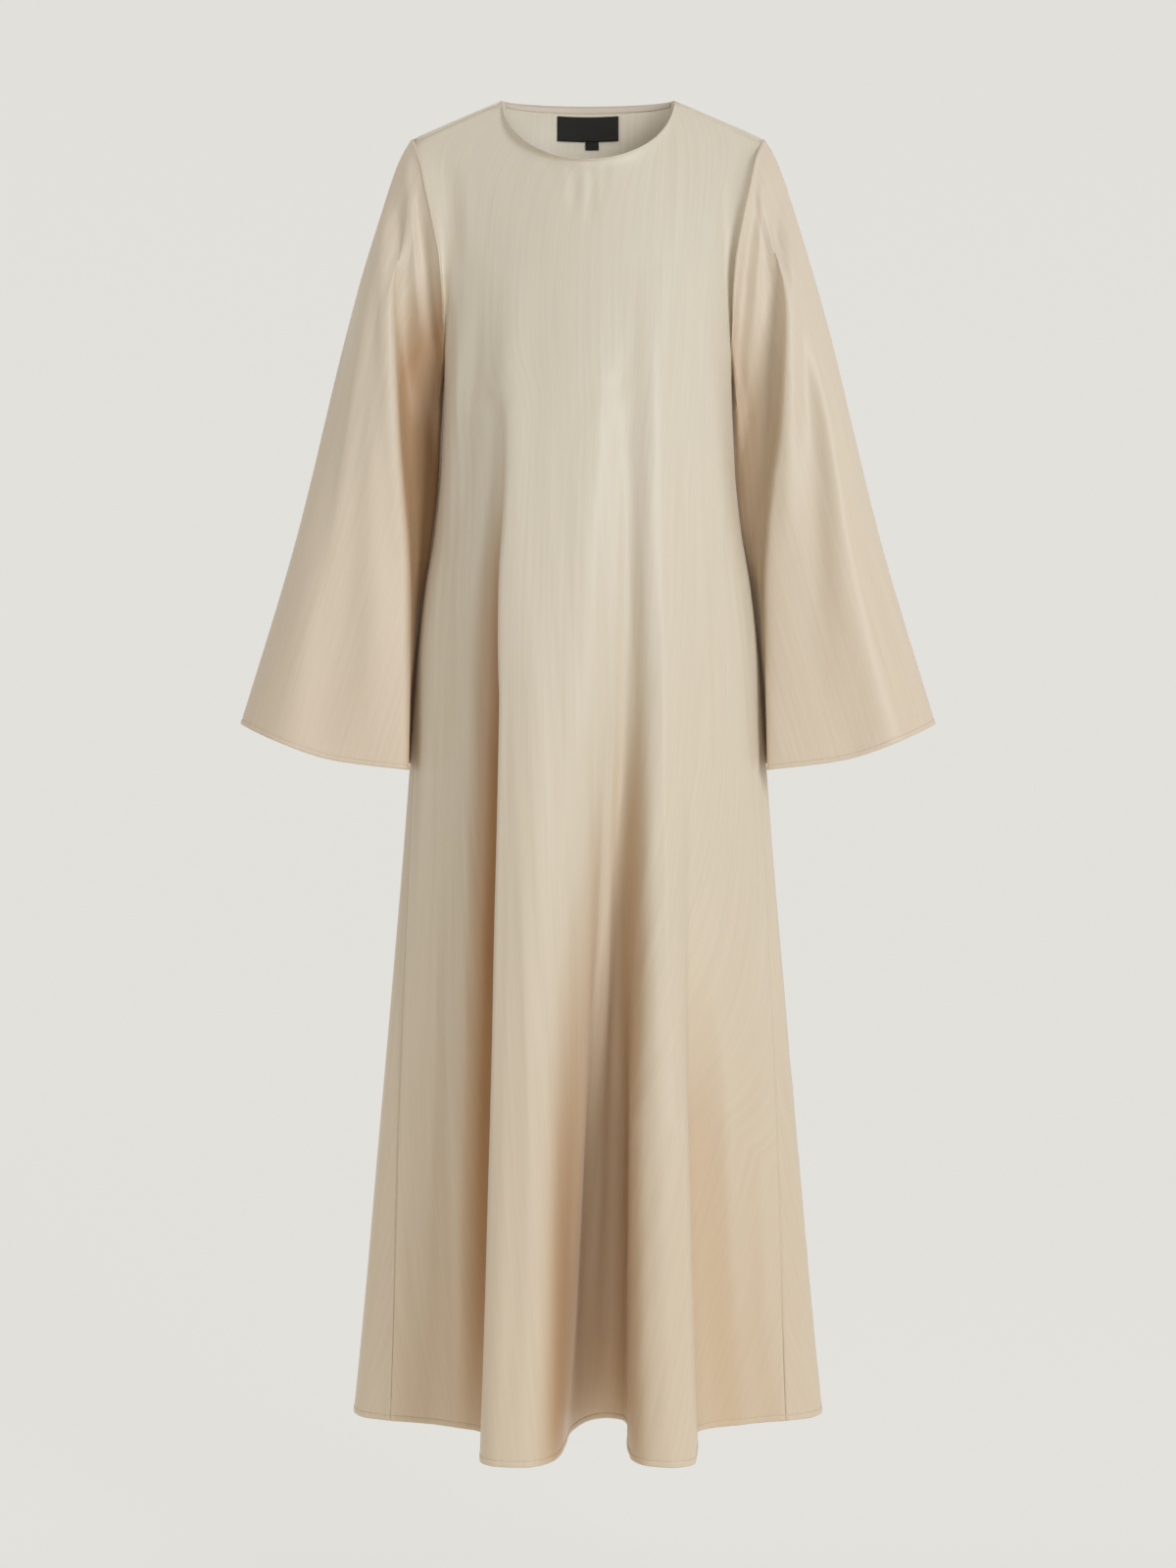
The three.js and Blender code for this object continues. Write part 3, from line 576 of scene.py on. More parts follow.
def crease_height(x, z, creases):
    """Height of the listed creases at a place seen from the front."""
    height = np.zeros_like(x)
    for (x0, z0), (x1, z1), width, depth in creases:
        run = np.array([x1 - x0, z1 - z0], dtype=float)
        length = np.linalg.norm(run)
        run = run / length
        along = ((x - x0) * run[0] + (z - z0) * run[1]) / length
        away = (x - x0) * run[1] - (z - z0) * run[0]
        height += depth * fade_out(along) * bump(away, width)
    return height


def fold_height(panel, s, across, z, folds):
    """Height of the creases that run down the cloth from a share of the chest."""
    chest = panel.line["chest"](s)
    height = np.zeros_like(across)
    for start, upper, lower, width, depth in folds:
        centre = np.array([np.interp(start, chest, across[:, row]) for row in range(across.shape[1])])
        along = (upper - z) / (upper - lower)
        height += depth * fade_out(along) * bump(across - centre[None, :], width)
    return height


def reach_indices(count, reach):
    """Indices that far before and after each place, nearer by the ends."""
    order = np.arange(count)
    near = np.minimum(reach, np.minimum(order, count - 1 - order))
    return order - near, order + near


def relaxed(points, weight, reaches, rounds):
    """Eases sharp bends out of a sheet, most where the weight is 1."""
    for reach in reaches:
        left, right = reach_indices(points.shape[0], reach)
        lower, upper = reach_indices(points.shape[1], reach)
        for _ in range(rounds):
            around = (points[left] + points[right] + points[:, lower] + points[:, upper]) / 4
            points = points + (around - points) * weight[..., None]
    return points


# Cloth nearer than this hides nothing, so that its own roundness isn't counted
HIDING_DISTANCE = 9.0
HIDDEN_EASE = 0.8


def hollowness(points, normal, closed):
    """How much of the room the folds beside each point hide, from 0 to 1."""
    columns, rows = points.shape[:2]
    order = np.arange(columns)
    hidden = np.zeros((columns, rows))
    for row in range(rows):
        place = points[:, row]
        facing = normal[:, row]
        away = place[None, :] - place[:, None]
        distance = np.maximum(np.linalg.norm(away, axis=-1), 1e-6)
        rise = np.clip((away * facing[:, None]).sum(axis=-1) / distance, 0, 1)
        rise[distance < HIDING_DISTANCE] = 0
        steps = order[None, :] - order[:, None]
        if closed:
            steps = (steps + columns // 2) % columns - columns // 2
        left = np.where(steps < 0, rise, 0).max(axis=1)
        right = np.where(steps > 0, rise, 0).max(axis=1)
        hidden[:, row] = (1 - np.sqrt(1 - np.maximum(left, right) ** 2)) / 2
    return relaxed(hidden[..., None], np.full((columns, rows), HIDDEN_EASE), (3, 1), 3)[..., 0]


# Ripples: how far apart they lie, how quickly they come and go, and how they wander
RIPPLES = (12.0, 19.0, 27.0, 38.0, 55.0)
RIPPLE_BEAT = 150.0
RIPPLE_WANDER = 0.9
RIPPLE_WANDER_HEIGHT = 330.0
PANEL_RIPPLE = 0.5
PANEL_RIPPLE_LEAST = 0.15
PANEL_RIPPLE_FULL = 900.0
SLEEVE_RIPPLE = 0.22
# How far from an edge the creases and ripples have grown
PANEL_EDGE_CALM = 18.0
SLEEVE_EDGE_CALM = 16.0
# Gathers beside a hem's stitches: how high, and their short and long waves
HEM_GATHERS = (0.22, 7.3, 31.0)
CUFF_GATHERS = (0.2, 6.7, 29.0)
GATHER_REACH = 3.0
# The creases behind a sleeve are those in front, moved and softer
BEHIND_ACROSS = 10.0
BEHIND_DOWN = 20.0
BEHIND_SHARE = 0.8
SLEEVE_SIDE_CALM = 12.0


def ripple_height(across, z, seed, amount):
    """Fine uneven ripples that run down the grain of hanging cloth."""
    height = np.zeros_like(across)
    rng = np.random.default_rng(seed)
    for wavelength in RIPPLES:
        phase, drift, beat = rng.uniform(0, 2 * math.pi, 3)
        strength = 0.5 + 0.5 * np.sin(z / (RIPPLE_BEAT + 3 * wavelength) + beat)
        wander = RIPPLE_WANDER * np.sin(z / RIPPLE_WANDER_HEIGHT + drift)
        wave = np.sin(2 * math.pi * across / wavelength + phase + wander)
        height += amount * (wavelength / RIPPLES[-1]) * strength * wave
    return height


def gathered(across, from_stitches, gathers):
    """Height of the small gathers beside a row of stitches."""
    height, short, long = gathers
    waves = height * np.sin(across * 2 * math.pi / short) * np.sin(across * 2 * math.pi / long)
    return waves * bump(from_stitches, GATHER_REACH)


def finish_panel(panel, s, base, creases, folds, seed):
    """The panel's points with creases, ripples, rolled seams, hem and neck edge."""
    normal = grid_normals(base, flip=-panel.facing)
    up = distance_up(base)
    across = distance_across(base)
    from_right = across[-1:] - across
    from_top = up[:, -1:] - up
    z = base[..., 2]
    nearest = np.minimum(np.minimum(across, from_right), from_top)
    height = crease_height(base[..., 0], z, creases)
    height += fold_height(panel, s, across, z, folds)
    grown = np.clip(-z / PANEL_RIPPLE_FULL, PANEL_RIPPLE_LEAST, 1)
    height += ripple_height(across, z, seed, PANEL_RIPPLE) * grown
    height *= 1 - np.exp(-(nearest / PANEL_EDGE_CALM) ** 2)
    height += seam_roll(across) + seam_roll(from_right)
    on_neck = np.abs(panel.line["chest"](s))[:, None] < NECK_SHARE
    height += np.where(on_neck, neck_roll(from_top), seam_roll(from_top))
    height += hem_roll(up, HEM_DEPTH)
    height += gathered(across, up - HEM_DEPTH, HEM_GATHERS)
    return base + normal * height[..., None]


def finish_sleeve(base, side, creases, seed):
    """The sleeve's points with creases, ripples, rolled armhole seam and cuff hem."""
    normal = grid_normals(base, closed=True, flip=side)
    up = distance_up(base)
    from_hem = up[:, -1:] - up
    across = distance_round(base)
    out, z = np.abs(base[..., 0]), base[..., 2]
    before = crease_height(-out, z, creases)
    behind = crease_height(BEHIND_ACROSS - out, z - BEHIND_DOWN, creases)
    height = np.where(base[..., 1] < 0, before, BEHIND_SHARE * behind)
    height *= np.clip(np.abs(base[..., 1]) / SLEEVE_SIDE_CALM, 0, 1)
    height += ripple_height(across, z, seed, SLEEVE_RIPPLE)
    height *= 1 - np.exp(-(np.minimum(up, from_hem) / SLEEVE_EDGE_CALM) ** 2)
    height += seam_roll(up) + hem_roll(from_hem, CUFF_HEM_DEPTH)
    height += gathered(across, from_hem - CUFF_HEM_DEPTH, CUFF_GATHERS)
    return base + normal * height[..., None]


# Mesh making


def new_object(name, vertices, faces):
    """A smooth-shaded piece at the origin, from vertices in millimetres."""
    mesh = bpy.data.meshes.new(name)
    mesh.from_pydata([tuple(v) for v in np.asarray(vertices) * MM], [], faces)
    mesh.update()
    piece = bpy.data.objects.new(name, mesh)
    bpy.context.collection.objects.link(piece)
    for polygon in mesh.polygons:
        polygon.use_smooth = True
    return piece


def grid_faces(columns, rows, closed, flip):
    """Four-sided faces between the points of a grid, columns by rows."""
    spans = columns if closed else columns - 1
    i = np.arange(spans)[:, None]
    j = np.arange(rows - 1)[None, :]
    a = i * rows + j
    b = ((i + 1) % columns) * rows + j
    quads = np.stack([a, b, b + 1, a + 1], axis=-1).reshape(-1, 4)
    if flip:
        quads = quads[:, ::-1]
    return quads.tolist()


def cloth_map(piece, columns, rows, across, up):
    """A UV map in metres of cloth: across the grain and along it."""
    layer = piece.data.uv_layers.new(name="cloth")
    loops = np.empty(len(piece.data.loops), dtype=int)
    piece.data.loops.foreach_get("vertex_index", loops)
    flat = np.stack([across.reshape(-1), up.reshape(-1)], axis=1) * MM
    layer.data.foreach_set("uv", flat[loops].reshape(-1))


def select_only(piece):
    bpy.ops.object.select_all(action="DESELECT")
    piece.select_set(True)
    bpy.context.view_layer.objects.active = piece


def thicken(piece, thickness):
    """Gives a sheet its thickness, inwards from its outer face."""
    select_only(piece)
    solid = piece.modifiers.new("cloth thickness", "SOLIDIFY")
    solid.thickness = thickness * MM
    solid.offset = -1
    solid.use_even_offset = False
    bpy.ops.object.modifier_apply(modifier=solid.name)


def sheet_piece(name, points, closed, flip, thickness, across=None, up=None, hidden=None):
    """A sheet through a grid of points, with its cloth map and the painted shade of its folds."""
    columns, rows = points.shape[:2]
    piece = new_object(name, points.reshape(-1, 3), grid_faces(columns, rows, closed, flip))
    if across is None:
        across = distance_across(points)
    if up is None:
        up = distance_up(points)
    cloth_map(piece, columns, rows, across, up)
    if hidden is None:
        hidden = np.zeros((columns, rows))
    # This attribute carries the painted shade of the folds
    depth = piece.data.attributes.new("painted fold shade", "FLOAT", "POINT")
    depth.data.foreach_set("value", hidden.reshape(-1))
    thicken(piece, thickness)
    return piece


# Materials


def colour(hex_code):
    """An sRGB hex colour as linear RGBA."""
    channels = [int(hex_code[i:i + 2], 16) / 255 for i in (1, 3, 5)]
    linear = [c / 12.92 if c <= 0.04045 else ((c + 0.055) / 1.055) ** 2.4 for c in channels]
    return (*linear, 1.0)


def add_node(tree, kind, settings=None, inputs=None, links=None):
    """Adds a node with its settings, socket values and links from nodes or their sockets."""
    node = tree.nodes.new("ShaderNode" + kind)
    for key, value in (settings or {}).items():
        setattr(node, key, value)
    for key, value in (inputs or {}).items():
        node.inputs[key].default_value = value
    for key, source in (links or {}).items():
        socket = source.outputs[0] if isinstance(source, bpy.types.Node) else source
        tree.links.new(socket, node.inputs[key])
    return node


# Settings that several nodes share
COLOURS = {"data_type": "RGBA"}
COLOURS_MULTIPLIED = {"data_type": "RGBA", "blend_type": "MULTIPLY"}
SOFT_STEP = {"interpolation_type": "SMOOTHSTEP"}


def new_material(name):
    material = bpy.data.materials.new(name)
    material.use_nodes = True
    material.node_tree.nodes.clear()
    return material, material.node_tree


def satin_crepe(name, top_hex, hem_hex, fold_shade_hex, roughness, sheen):
    """Satin-back crepe, woven: a soft wide sheen with fine streaks along the warp."""
    material, tree = new_material(name)
    uv = add_node(tree, "UVMap", {"uv_map": "cloth"})
    place = add_node(tree, "TexCoord")
    height = add_node(tree, "SeparateXYZ", links={0: place.outputs["Object"]})
    # Painted light: the colour warms a little from shoulder to hem, as if lit warmly from the floor
    fall = add_node(tree, "MapRange", SOFT_STEP, {"From Min": -0.2, "From Max": -1.30},
                    {"Value": height.outputs["Z"]})
    painted_floor_bounce = add_node(tree, "Mix", COLOURS, {6: colour(top_hex), 7: colour(hem_hex)},
                   {0: fall})
    # Painted shade: the colour turns deeper and warmer low in the folds, as far as the folds beside a point
    # hide it
    folds = add_node(tree, "Attribute", {"attribute_name": "painted fold shade"})
    fold_shade_share = add_node(tree, "MapRange", inputs={"From Min": 0.06, "From Max": 0.45},
                          links={"Value": folds.outputs["Fac"]})
    fold_shaded = add_node(tree, "Mix", COLOURS, {7: colour(fold_shade_hex)},
                      {0: fold_shade_share, 6: painted_floor_bounce.outputs[2]})
    # Painted deep shade: where two layers nearly touch, the colour turns brown, standing in for the shade
    # there and the light the cloth throws back on itself
    deep_shade_share = add_node(tree, "MapRange", SOFT_STEP, {"From Min": 0.55, "From Max": 1.0},
                          {"Value": folds.outputs["Fac"]})
    deep_shade = add_node(tree, "Mix", COLOURS, {7: colour("#a98864")},
                       {0: deep_shade_share, 6: fold_shaded.outputs[2]})
    # Warp streaks about 4 mm wide and 200 mm long
    streak_map = add_node(tree, "Mapping", inputs={"Scale": (250.0, 5.0, 1.0)},
                          links={"Vector": uv.outputs["UV"]})
    streak = add_node(tree, "TexNoise", inputs={"Scale": 1.0, "Detail": 2.0, "Roughness": 0.6},
                      links={"Vector": streak_map})
    streak_shade = add_node(tree, "MapRange",
                            inputs={"From Min": 0.3, "From Max": 0.7, "To Min": 0.968, "To Max": 1.025},
                            links={"Value": streak})
    tint = add_node(tree, "Mix", COLOURS_MULTIPLIED, {0: 1.0},
                    {6: deep_shade.outputs[2], 7: streak_shade})
    # Crepe pebble of about 1.2 mm, drawn coarser than the real 0.4 mm so that it shows
    pebble_map = add_node(tree, "Mapping", inputs={"Scale": (900.0, 700.0, 1.0)},
                          links={"Vector": uv.outputs["UV"]})
    pebble = add_node(tree, "TexNoise", inputs={"Scale": 1.0, "Detail": 1.0, "Roughness": 0.55},
                      links={"Vector": pebble_map})
    pebble_bump = add_node(tree, "Bump", inputs={"Strength": 0.12, "Distance": 0.0006},
                           links={"Height": pebble})
    streak_bump = add_node(tree, "Bump", inputs={"Strength": 0.1, "Distance": 0.0012},
                           links={"Height": streak, "Normal": pebble_bump})
    # The streaks differ in gloss too
    gloss = add_node(tree, "MapRange",
                     inputs={"From Min": 0.25, "From Max": 0.75,
                             "To Min": roughness - 0.04, "To Max": roughness + 0.05},
                     links={"Value": streak})
    shader = add_node(tree, "BsdfPrincipled",
                      inputs={"IOR": 1.46, "Specular IOR Level": 0.42, "Sheen Weight": sheen,
                              "Sheen Roughness": 0.45, "Sheen Tint": colour("#f2eadc")},
                      links={"Base Color": tint.outputs[2], "Roughness": gloss,
                             "Normal": streak_bump})
    add_node(tree, "OutputMaterial", links={"Surface": shader})
    return material


def woven_label():
    """Black damask label tape, woven: matt with fine ribs across."""
    material, tree = new_material("black woven label")
    uv = add_node(tree, "UVMap", {"uv_map": "cloth"})
    # Ribs 0.7 mm apart, about twice the real spacing so that they show
    ribs = add_node(tree, "TexWave", {"wave_type": "BANDS", "bands_direction": "Y"},
                    {"Scale": 230.0, "Distortion": 0.4, "Detail": 1.0}, {"Vector": uv.outputs["UV"]})
    threads = add_node(tree, "TexNoise", inputs={"Scale": 1500.0, "Detail": 2.0},
                       links={"Vector": uv.outputs["UV"]})
    mixed = add_node(tree, "Math", {"operation": "MULTIPLY_ADD"}, {1: 0.5},
                     {0: threads, 2: ribs.outputs["Fac"]})
    shade = add_node(tree, "Mix", COLOURS, {6: colour("#161510"), 7: colour("#24221d")},
                     {0: threads})
    relief = add_node(tree, "Bump", inputs={"Strength": 0.35, "Distance": 0.0004},
                      links={"Height": mixed})
    shader = add_node(tree, "BsdfPrincipled",
                      inputs={"Roughness": 0.72, "IOR": 1.46, "Specular IOR Level": 0.3,
                              "Sheen Weight": 0.15},
                      links={"Base Color": shade.outputs[2], "Normal": relief})
    add_node(tree, "OutputMaterial", links={"Surface": shader})
    return material


def sewing_thread(name, hex_code):
    """Spun polyester thread: matt, with a fine twist."""
    material, tree = new_material(name)
    place = add_node(tree, "TexCoord")
    twist = add_node(tree, "TexNoise", inputs={"Scale": 2500.0, "Detail": 1.0},
                     links={"Vector": place.outputs["Object"]})
    shade = add_node(tree, "MapRange", inputs={"To Min": 0.9, "To Max": 1.08},
                     links={"Value": twist})
    tint = add_node(tree, "Mix", COLOURS_MULTIPLIED, {0: 1.0, 6: colour(hex_code)},
                    {7: shade})
    shader = add_node(tree, "BsdfPrincipled", inputs={"Roughness": 0.6, "IOR": 1.5},
                      links={"Base Color": tint.outputs[2]})
    add_node(tree, "OutputMaterial", links={"Surface": shader})
    return material


def studio_white():
    """Pale seamless paper, lit by the lamps and glowing of itself with painted light, so that it reads as one
    tone.
    """
    material, tree = new_material("studio paper")
    matt = add_node(tree, "BsdfDiffuse", inputs={"Color": colour("#55554f")})
    place = add_node(tree, "TexCoord")
    depth = add_node(tree, "SeparateXYZ", links={0: place.outputs["Object"]})
    # Painted light: it glows behind the garment, and hardly at all by the camera
    glow = add_node(tree, "MapRange", SOFT_STEP,
                    {"From Min": -3.0, "From Max": 0.5, "To Min": 0.1, "To Max": 0.92},
                    {"Value": depth.outputs["Y"]})
    even = add_node(tree, "Emission", inputs={"Color": colour("#e3e2de")},
                    links={"Strength": glow})
    both = add_node(tree, "AddShader", links={0: matt, 1: even})
    add_node(tree, "OutputMaterial", links={"Surface": both})
    return material


def coat(piece, material):
    """Gives a piece its one material."""
    piece.data.materials.clear()
    piece.data.materials.append(material)


# Stitches

# How far a stitch's ends are pinched and sunk, and how proud it lies, by its width
STITCH_END = 0.3
STITCH_PINCH = 0.45
STITCH_SINK = 0.35
STITCH_PROUD = 0.3


def stitch_form():
    """One stitch lying along X, a unit long, from a thin cylinder with pinched ends."""
    bpy.ops.object.select_all(action="DESELECT")
    bpy.ops.mesh.primitive_cylinder_add(vertices=6, radius=0.5, depth=1.0, end_fill_type="TRIFAN",
                                        rotation=(0, math.pi / 2, 0))
    form = bpy.context.object
    bpy.ops.object.transform_apply(location=True, rotation=True, scale=True)
    bpy.ops.object.mode_set(mode="EDIT")
    bpy.ops.mesh.select_all(action="SELECT")
    bpy.ops.mesh.bisect(plane_co=(0, 0, 0), plane_no=(1, 0, 0))
    bpy.ops.object.mode_set(mode="OBJECT")
    points = np.array([v.co[:] for v in form.data.vertices])
    ends = np.abs(points[:, 0]) > STITCH_END
    points[ends, 1:] *= STITCH_PINCH
    points[ends, 2] -= STITCH_SINK
    faces = [list(p.vertices) for p in form.data.polygons]
    bpy.data.objects.remove(form)
    return points, faces


def stitch_line(name, path, normals, stitch, form):
    """Stitches lying along a path of points, a little proud of the cloth."""
    spacing, length, width = stitch
    points, faces = form
    local = points * np.array([length, width, width])
    local[:, 2] += STITCH_PROUD * width
    steps = np.linalg.norm(np.diff(path, axis=0), axis=1)
    along = np.concatenate([[0.0], np.cumsum(steps)])
    vertices = []
    polygons = []
    for k in range(int(along[-1] // spacing)):
        at = (k + 0.5) * spacing
        here = np.array([np.interp(at, along, path[:, i]) for i in range(3)])
        ahead = np.array([np.interp(at + 0.5, along, path[:, i]) for i in range(3)])
        out = np.array([np.interp(at, along, normals[:, i]) for i in range(3)])
        forward = ahead - here
        forward /= max(np.linalg.norm(forward), 1e-9)
        out = out - forward * out.dot(forward)
        out /= max(np.linalg.norm(out), 1e-9)
        vertices.append(here + local @ np.stack([forward, np.cross(out, forward), out]))
        polygons += [[v + k * len(points) for v in face] for face in faces]
    return new_object(name, np.concatenate(vertices), polygons)


def grid_path(points, normals, row_distance, from_end):
    """The line on a grid at a distance from its first or last row."""
    up = distance_up(points)
    if from_end:
        up = up[:, -1:] - up
    path = np.empty((points.shape[0], 3))
    ways = np.empty((points.shape[0], 3))
    for i in range(points.shape[0]):
        order = np.argsort(up[i])
        for k in range(3):
            path[i, k] = np.interp(row_distance, up[i][order], points[i, order, k])
            ways[i, k] = np.interp(row_distance, up[i][order], normals[i, order, k])
    return path, ways


# The garment


# The turned-up layer of a hem: its own thickness, the air under it, where it starts
# above the edge and how far it goes past the stitches
TURN_THICKNESS = 0.5
TURN_AIR = 0.12
TURN_START = 0.25
TURN_PAST = 0.6

# The painted shade of the folds is weakened or strengthened about a share of the chest,
# over a width, and fades out by the top edge
CENTRE_HOLLOW = (0.28, 0.16, -0.7)
LEFT_HOLLOW = (-0.62, 0.1, 0.8)
PANEL_SHADE_MOST = 0.75
TOP_LIGHT = 45.0

# The strip of a sleeve that faces the body and lies in its shade is painted with shade,
# by turns round the sleeve and heights down it
STRIP_TURNS = (0, 0.28, 0.34, 0.52, 0.66, 0.76, 1)
STRIP_SHADE = (0, 0, 0.7, 1, 1, 0, 0)
LEFT_SHADE = 1.0
RIGHT_SHADE = 0.28
SHADE_TURN = 0.3
SHADE_TURNS = 0.25
SHADE_FROM = 190.0
SHADE_SOONER = 90.0
SHADE_HEIGHT = 270.0
SHADE_FADES_FROM = 330.0
SHADE_FADE_HEIGHT = 250.0
SHADE_FADE = 0.55
SLEEVE_SHADE_ABOVE = 0.35
SLEEVE_SHADE_MOST = 0.5

# Rows of a sleeve by its seam and its hem, in millimetres of its length
SLEEVE_LENGTH = 640.0
ARMHOLE_LEAD = np.array([0.0, 0.7, 1.5, 2.6, 4.0, 6.0])
CUFF_LEAD = np.array([9.0, 7.0, 5.8, 5.0, 4.3, 3.0, 1.6, 0.7, 0.0])


def turned_hem(name, points, normal, depth, closed, flip, stitch, materials, form):
    """The layer turned up inside a hem, and its stitches. A closed grid's hem is its last row."""
    rows = []
    for distance in np.linspace(TURN_START, depth + TURN_PAST, 5):
        path, ways = grid_path(points, normal, distance, closed)
        rows.append(path - ways * (CLOTH_THICKNESS + TURN_AIR))
    band = sheet_piece(name + "_hem_turn", np.stack(rows, axis=1), closed, flip, TURN_THICKNESS)
    coat(band, materials["inside"])
    path, ways = grid_path(points, normal, depth, closed)
    if closed:
        path = np.concatenate([path, path[:1]])
        ways = np.concatenate([ways, ways[:1]])
    thread = stitch_line(name + "_hem_stitches", path, ways, stitch, form)
    coat(thread, materials["thread"])
    return band, thread


def make_panel(name, panel, columns, rows, creases, folds, seed, materials, form):
    """The front or the back, with its hem."""
    s, base = panel_grid(panel, columns, rows)
    points = finish_panel(panel, s, base, creases, folds, seed)
    normal = grid_normals(points, flip=-panel.facing)
    up = distance_up(base)
    across = distance_across(base)
    middle = across[len(s) // 2][None, :]
    chest = panel.line["chest"](s)
    # Painted shade, as much as the folds beside each point hide it
    painted = 1.0
    for centre, width, more in (CENTRE_HOLLOW, LEFT_HOLLOW):
        painted = painted + more * bump(chest - centre, width)
    hidden = np.minimum(hollowness(points, normal, False) * painted[:, None], PANEL_SHADE_MOST)
    hidden = hidden * (1 - bump(up[:, -1:] - up, TOP_LIGHT))
    flip = panel.facing > 0
    piece = sheet_piece(name, points, False, flip, CLOTH_THICKNESS, across - middle, up, hidden)
    coat(piece, materials["cloth"])
    hem = turned_hem(name, points, normal, HEM_DEPTH, False, flip, HEM_STITCH, materials, form)
    return piece, *hem


def make_sleeve(name, side, columns, rows, creases, shade, seed, materials, form):
    """A sleeve, with its cuff hem."""
    turn = np.arange(columns) / columns
    seam_lead = ARMHOLE_LEAD / SLEEVE_LENGTH
    hem_lead = 1 - CUFF_LEAD / SLEEVE_LENGTH
    middle = np.linspace(seam_lead[-1], hem_lead[0], rows)[1:-1]
    base = sleeve_surface(side, turn, np.concatenate([seam_lead, middle, hem_lead]))
    points = finish_sleeve(base, side, creases, seed)
    normal = grid_normals(points, closed=True, flip=side)
    # Painted shade: the folds' own, and more on the strip that faces the body
    down = -points[..., 2]
    inner = np.clip((turn - SHADE_TURN) / SHADE_TURNS, 0, 1)[:, None]
    low = np.clip((down - SHADE_FROM + SHADE_SOONER * inner) / SHADE_HEIGHT, 0, 1)
    low = low ** 2 * (3 - 2 * low)
    strip = smooth_curve(STRIP_TURNS, STRIP_SHADE)(turn)[:, None]
    fade = 1 - SHADE_FADE * np.clip((down - SHADE_FADES_FROM) / SHADE_FADE_HEIGHT, 0, 1)
    kept = SLEEVE_SHADE_ABOVE + (1 - SLEEVE_SHADE_ABOVE) * low
    hidden = np.minimum(hollowness(points, normal, True) * kept, SLEEVE_SHADE_MOST)
    hidden = np.maximum(hidden, shade * fade * low * strip)
    across = distance_round(base)
    piece = sheet_piece(name, points, True, side < 0, CLOTH_THICKNESS, across, distance_up(base), hidden)
    coat(piece, materials["sleeve cloth"])
    hem = turned_hem(name, points, normal, CUFF_HEM_DEPTH, True, side > 0, CUFF_STITCH, materials, form)
    return piece, *hem


def inner_face(tree, origins, headings, inset):
    """Points on the inside of the back, met by rays from its middle, moved inwards."""
    points = []
    for origin, heading in zip(origins, headings):
        heading = heading / np.linalg.norm(heading)
        hit = tree.ray_cast(Vector(origin * MM), Vector(heading))[3]
        points.append(origin + heading * (hit / MM - inset))
    return np.array(points)


# The binding goes so far round each way from the middle of the back, and is narrower
# at its ends, where its stitches stop
BINDING_ANGLE = math.radians(77)
BINDING_BELOW_EDGE = 1.4
BINDING_END_SHARE = 0.55
BINDING_INSET = 0.5
BINDING_SWELL = 0.45
BINDING_THICKNESS = 0.45
BINDING_STITCH_SHARE = 0.82
BINDING_STITCHED_TO = 74.0


def make_binding(back_tree, materials, form):
    """A narrow strip that covers the back neck seam, folded under along its lower edge."""
    angles = np.linspace(-1, 1, 90) * BINDING_ANGLE
    level = np.cos(angles)
    headings = np.stack([NECK_HALF_WIDTH * np.sin(angles), BACK_NECK_BEHIND * level, 0 * level], axis=1)
    depth = BINDING_DEPTH * (BINDING_END_SHARE + (1 - BINDING_END_SHARE) * level)
    rows = []
    for share in np.linspace(0, 1, 9):
        z = BACK_NECK_RISE * level - BINDING_BELOW_EDGE - depth * share
        swell = BINDING_SWELL * math.sin(math.pi * min(1.0, share * 1.02)) ** 0.6
        origins = np.stack([0 * z, 0 * z, z], axis=1)
        rows.append(inner_face(back_tree, origins, headings, BINDING_INSET + swell))
    points = np.stack(rows, axis=1)
    piece = sheet_piece("back_neck_binding", points, False, True, BINDING_THICKNESS)
    coat(piece, materials["inside"])
    path, ways = grid_path(points, grid_normals(points), BINDING_DEPTH * BINDING_STITCH_SHARE, False)
    keep = np.abs(path[:, 0]) < BINDING_STITCHED_TO
    thread = stitch_line("binding_stitches", path[keep], ways[keep], BINDING_STITCH, form)
    coat(thread, materials["thread"])
    return piece, thread


def trim_points(tree, centre, width, top, depth, inset, columns, rows):
    """A grid on the inside of the back for a label or tab, columns by rows."""
    x = centre + width * (np.linspace(0, 1, columns) - 0.5)
    headings = np.tile([0.0, 1.0, 0.0], (columns, 1))
    grid = []
    for share in np.linspace(0, 1, rows):
        origins = np.stack([x, 0 * x, top - depth * share + 0 * x], axis=1)
        grid.append(inner_face(tree, origins, headings, inset))
    return np.stack(grid, axis=1)


# The label's grid, how it stands off the back, its folded edge (height and width, then
# a ridge's height, place and width) and how far its foot lifts
LABEL_COLUMNS = 48
LABEL_ROWS = 22
LABEL_INSET = 1.4
LABEL_FOLD = (0.55, 0.7)
LABEL_RIDGE = (0.25, 1.6, 1.0)
LABEL_LIFT = 0.54
LABEL_THICKNESS = 0.7
LABEL_STITCH_INSET = 1.5
# The tab's grid, how it stands off the back and how far its loop swells
TAB_POINTS = 14
TAB_INSET = 0.7
TAB_STAND = 0.35
TAB_SWELL = 0.5
TAB_THICKNESS = 0.6


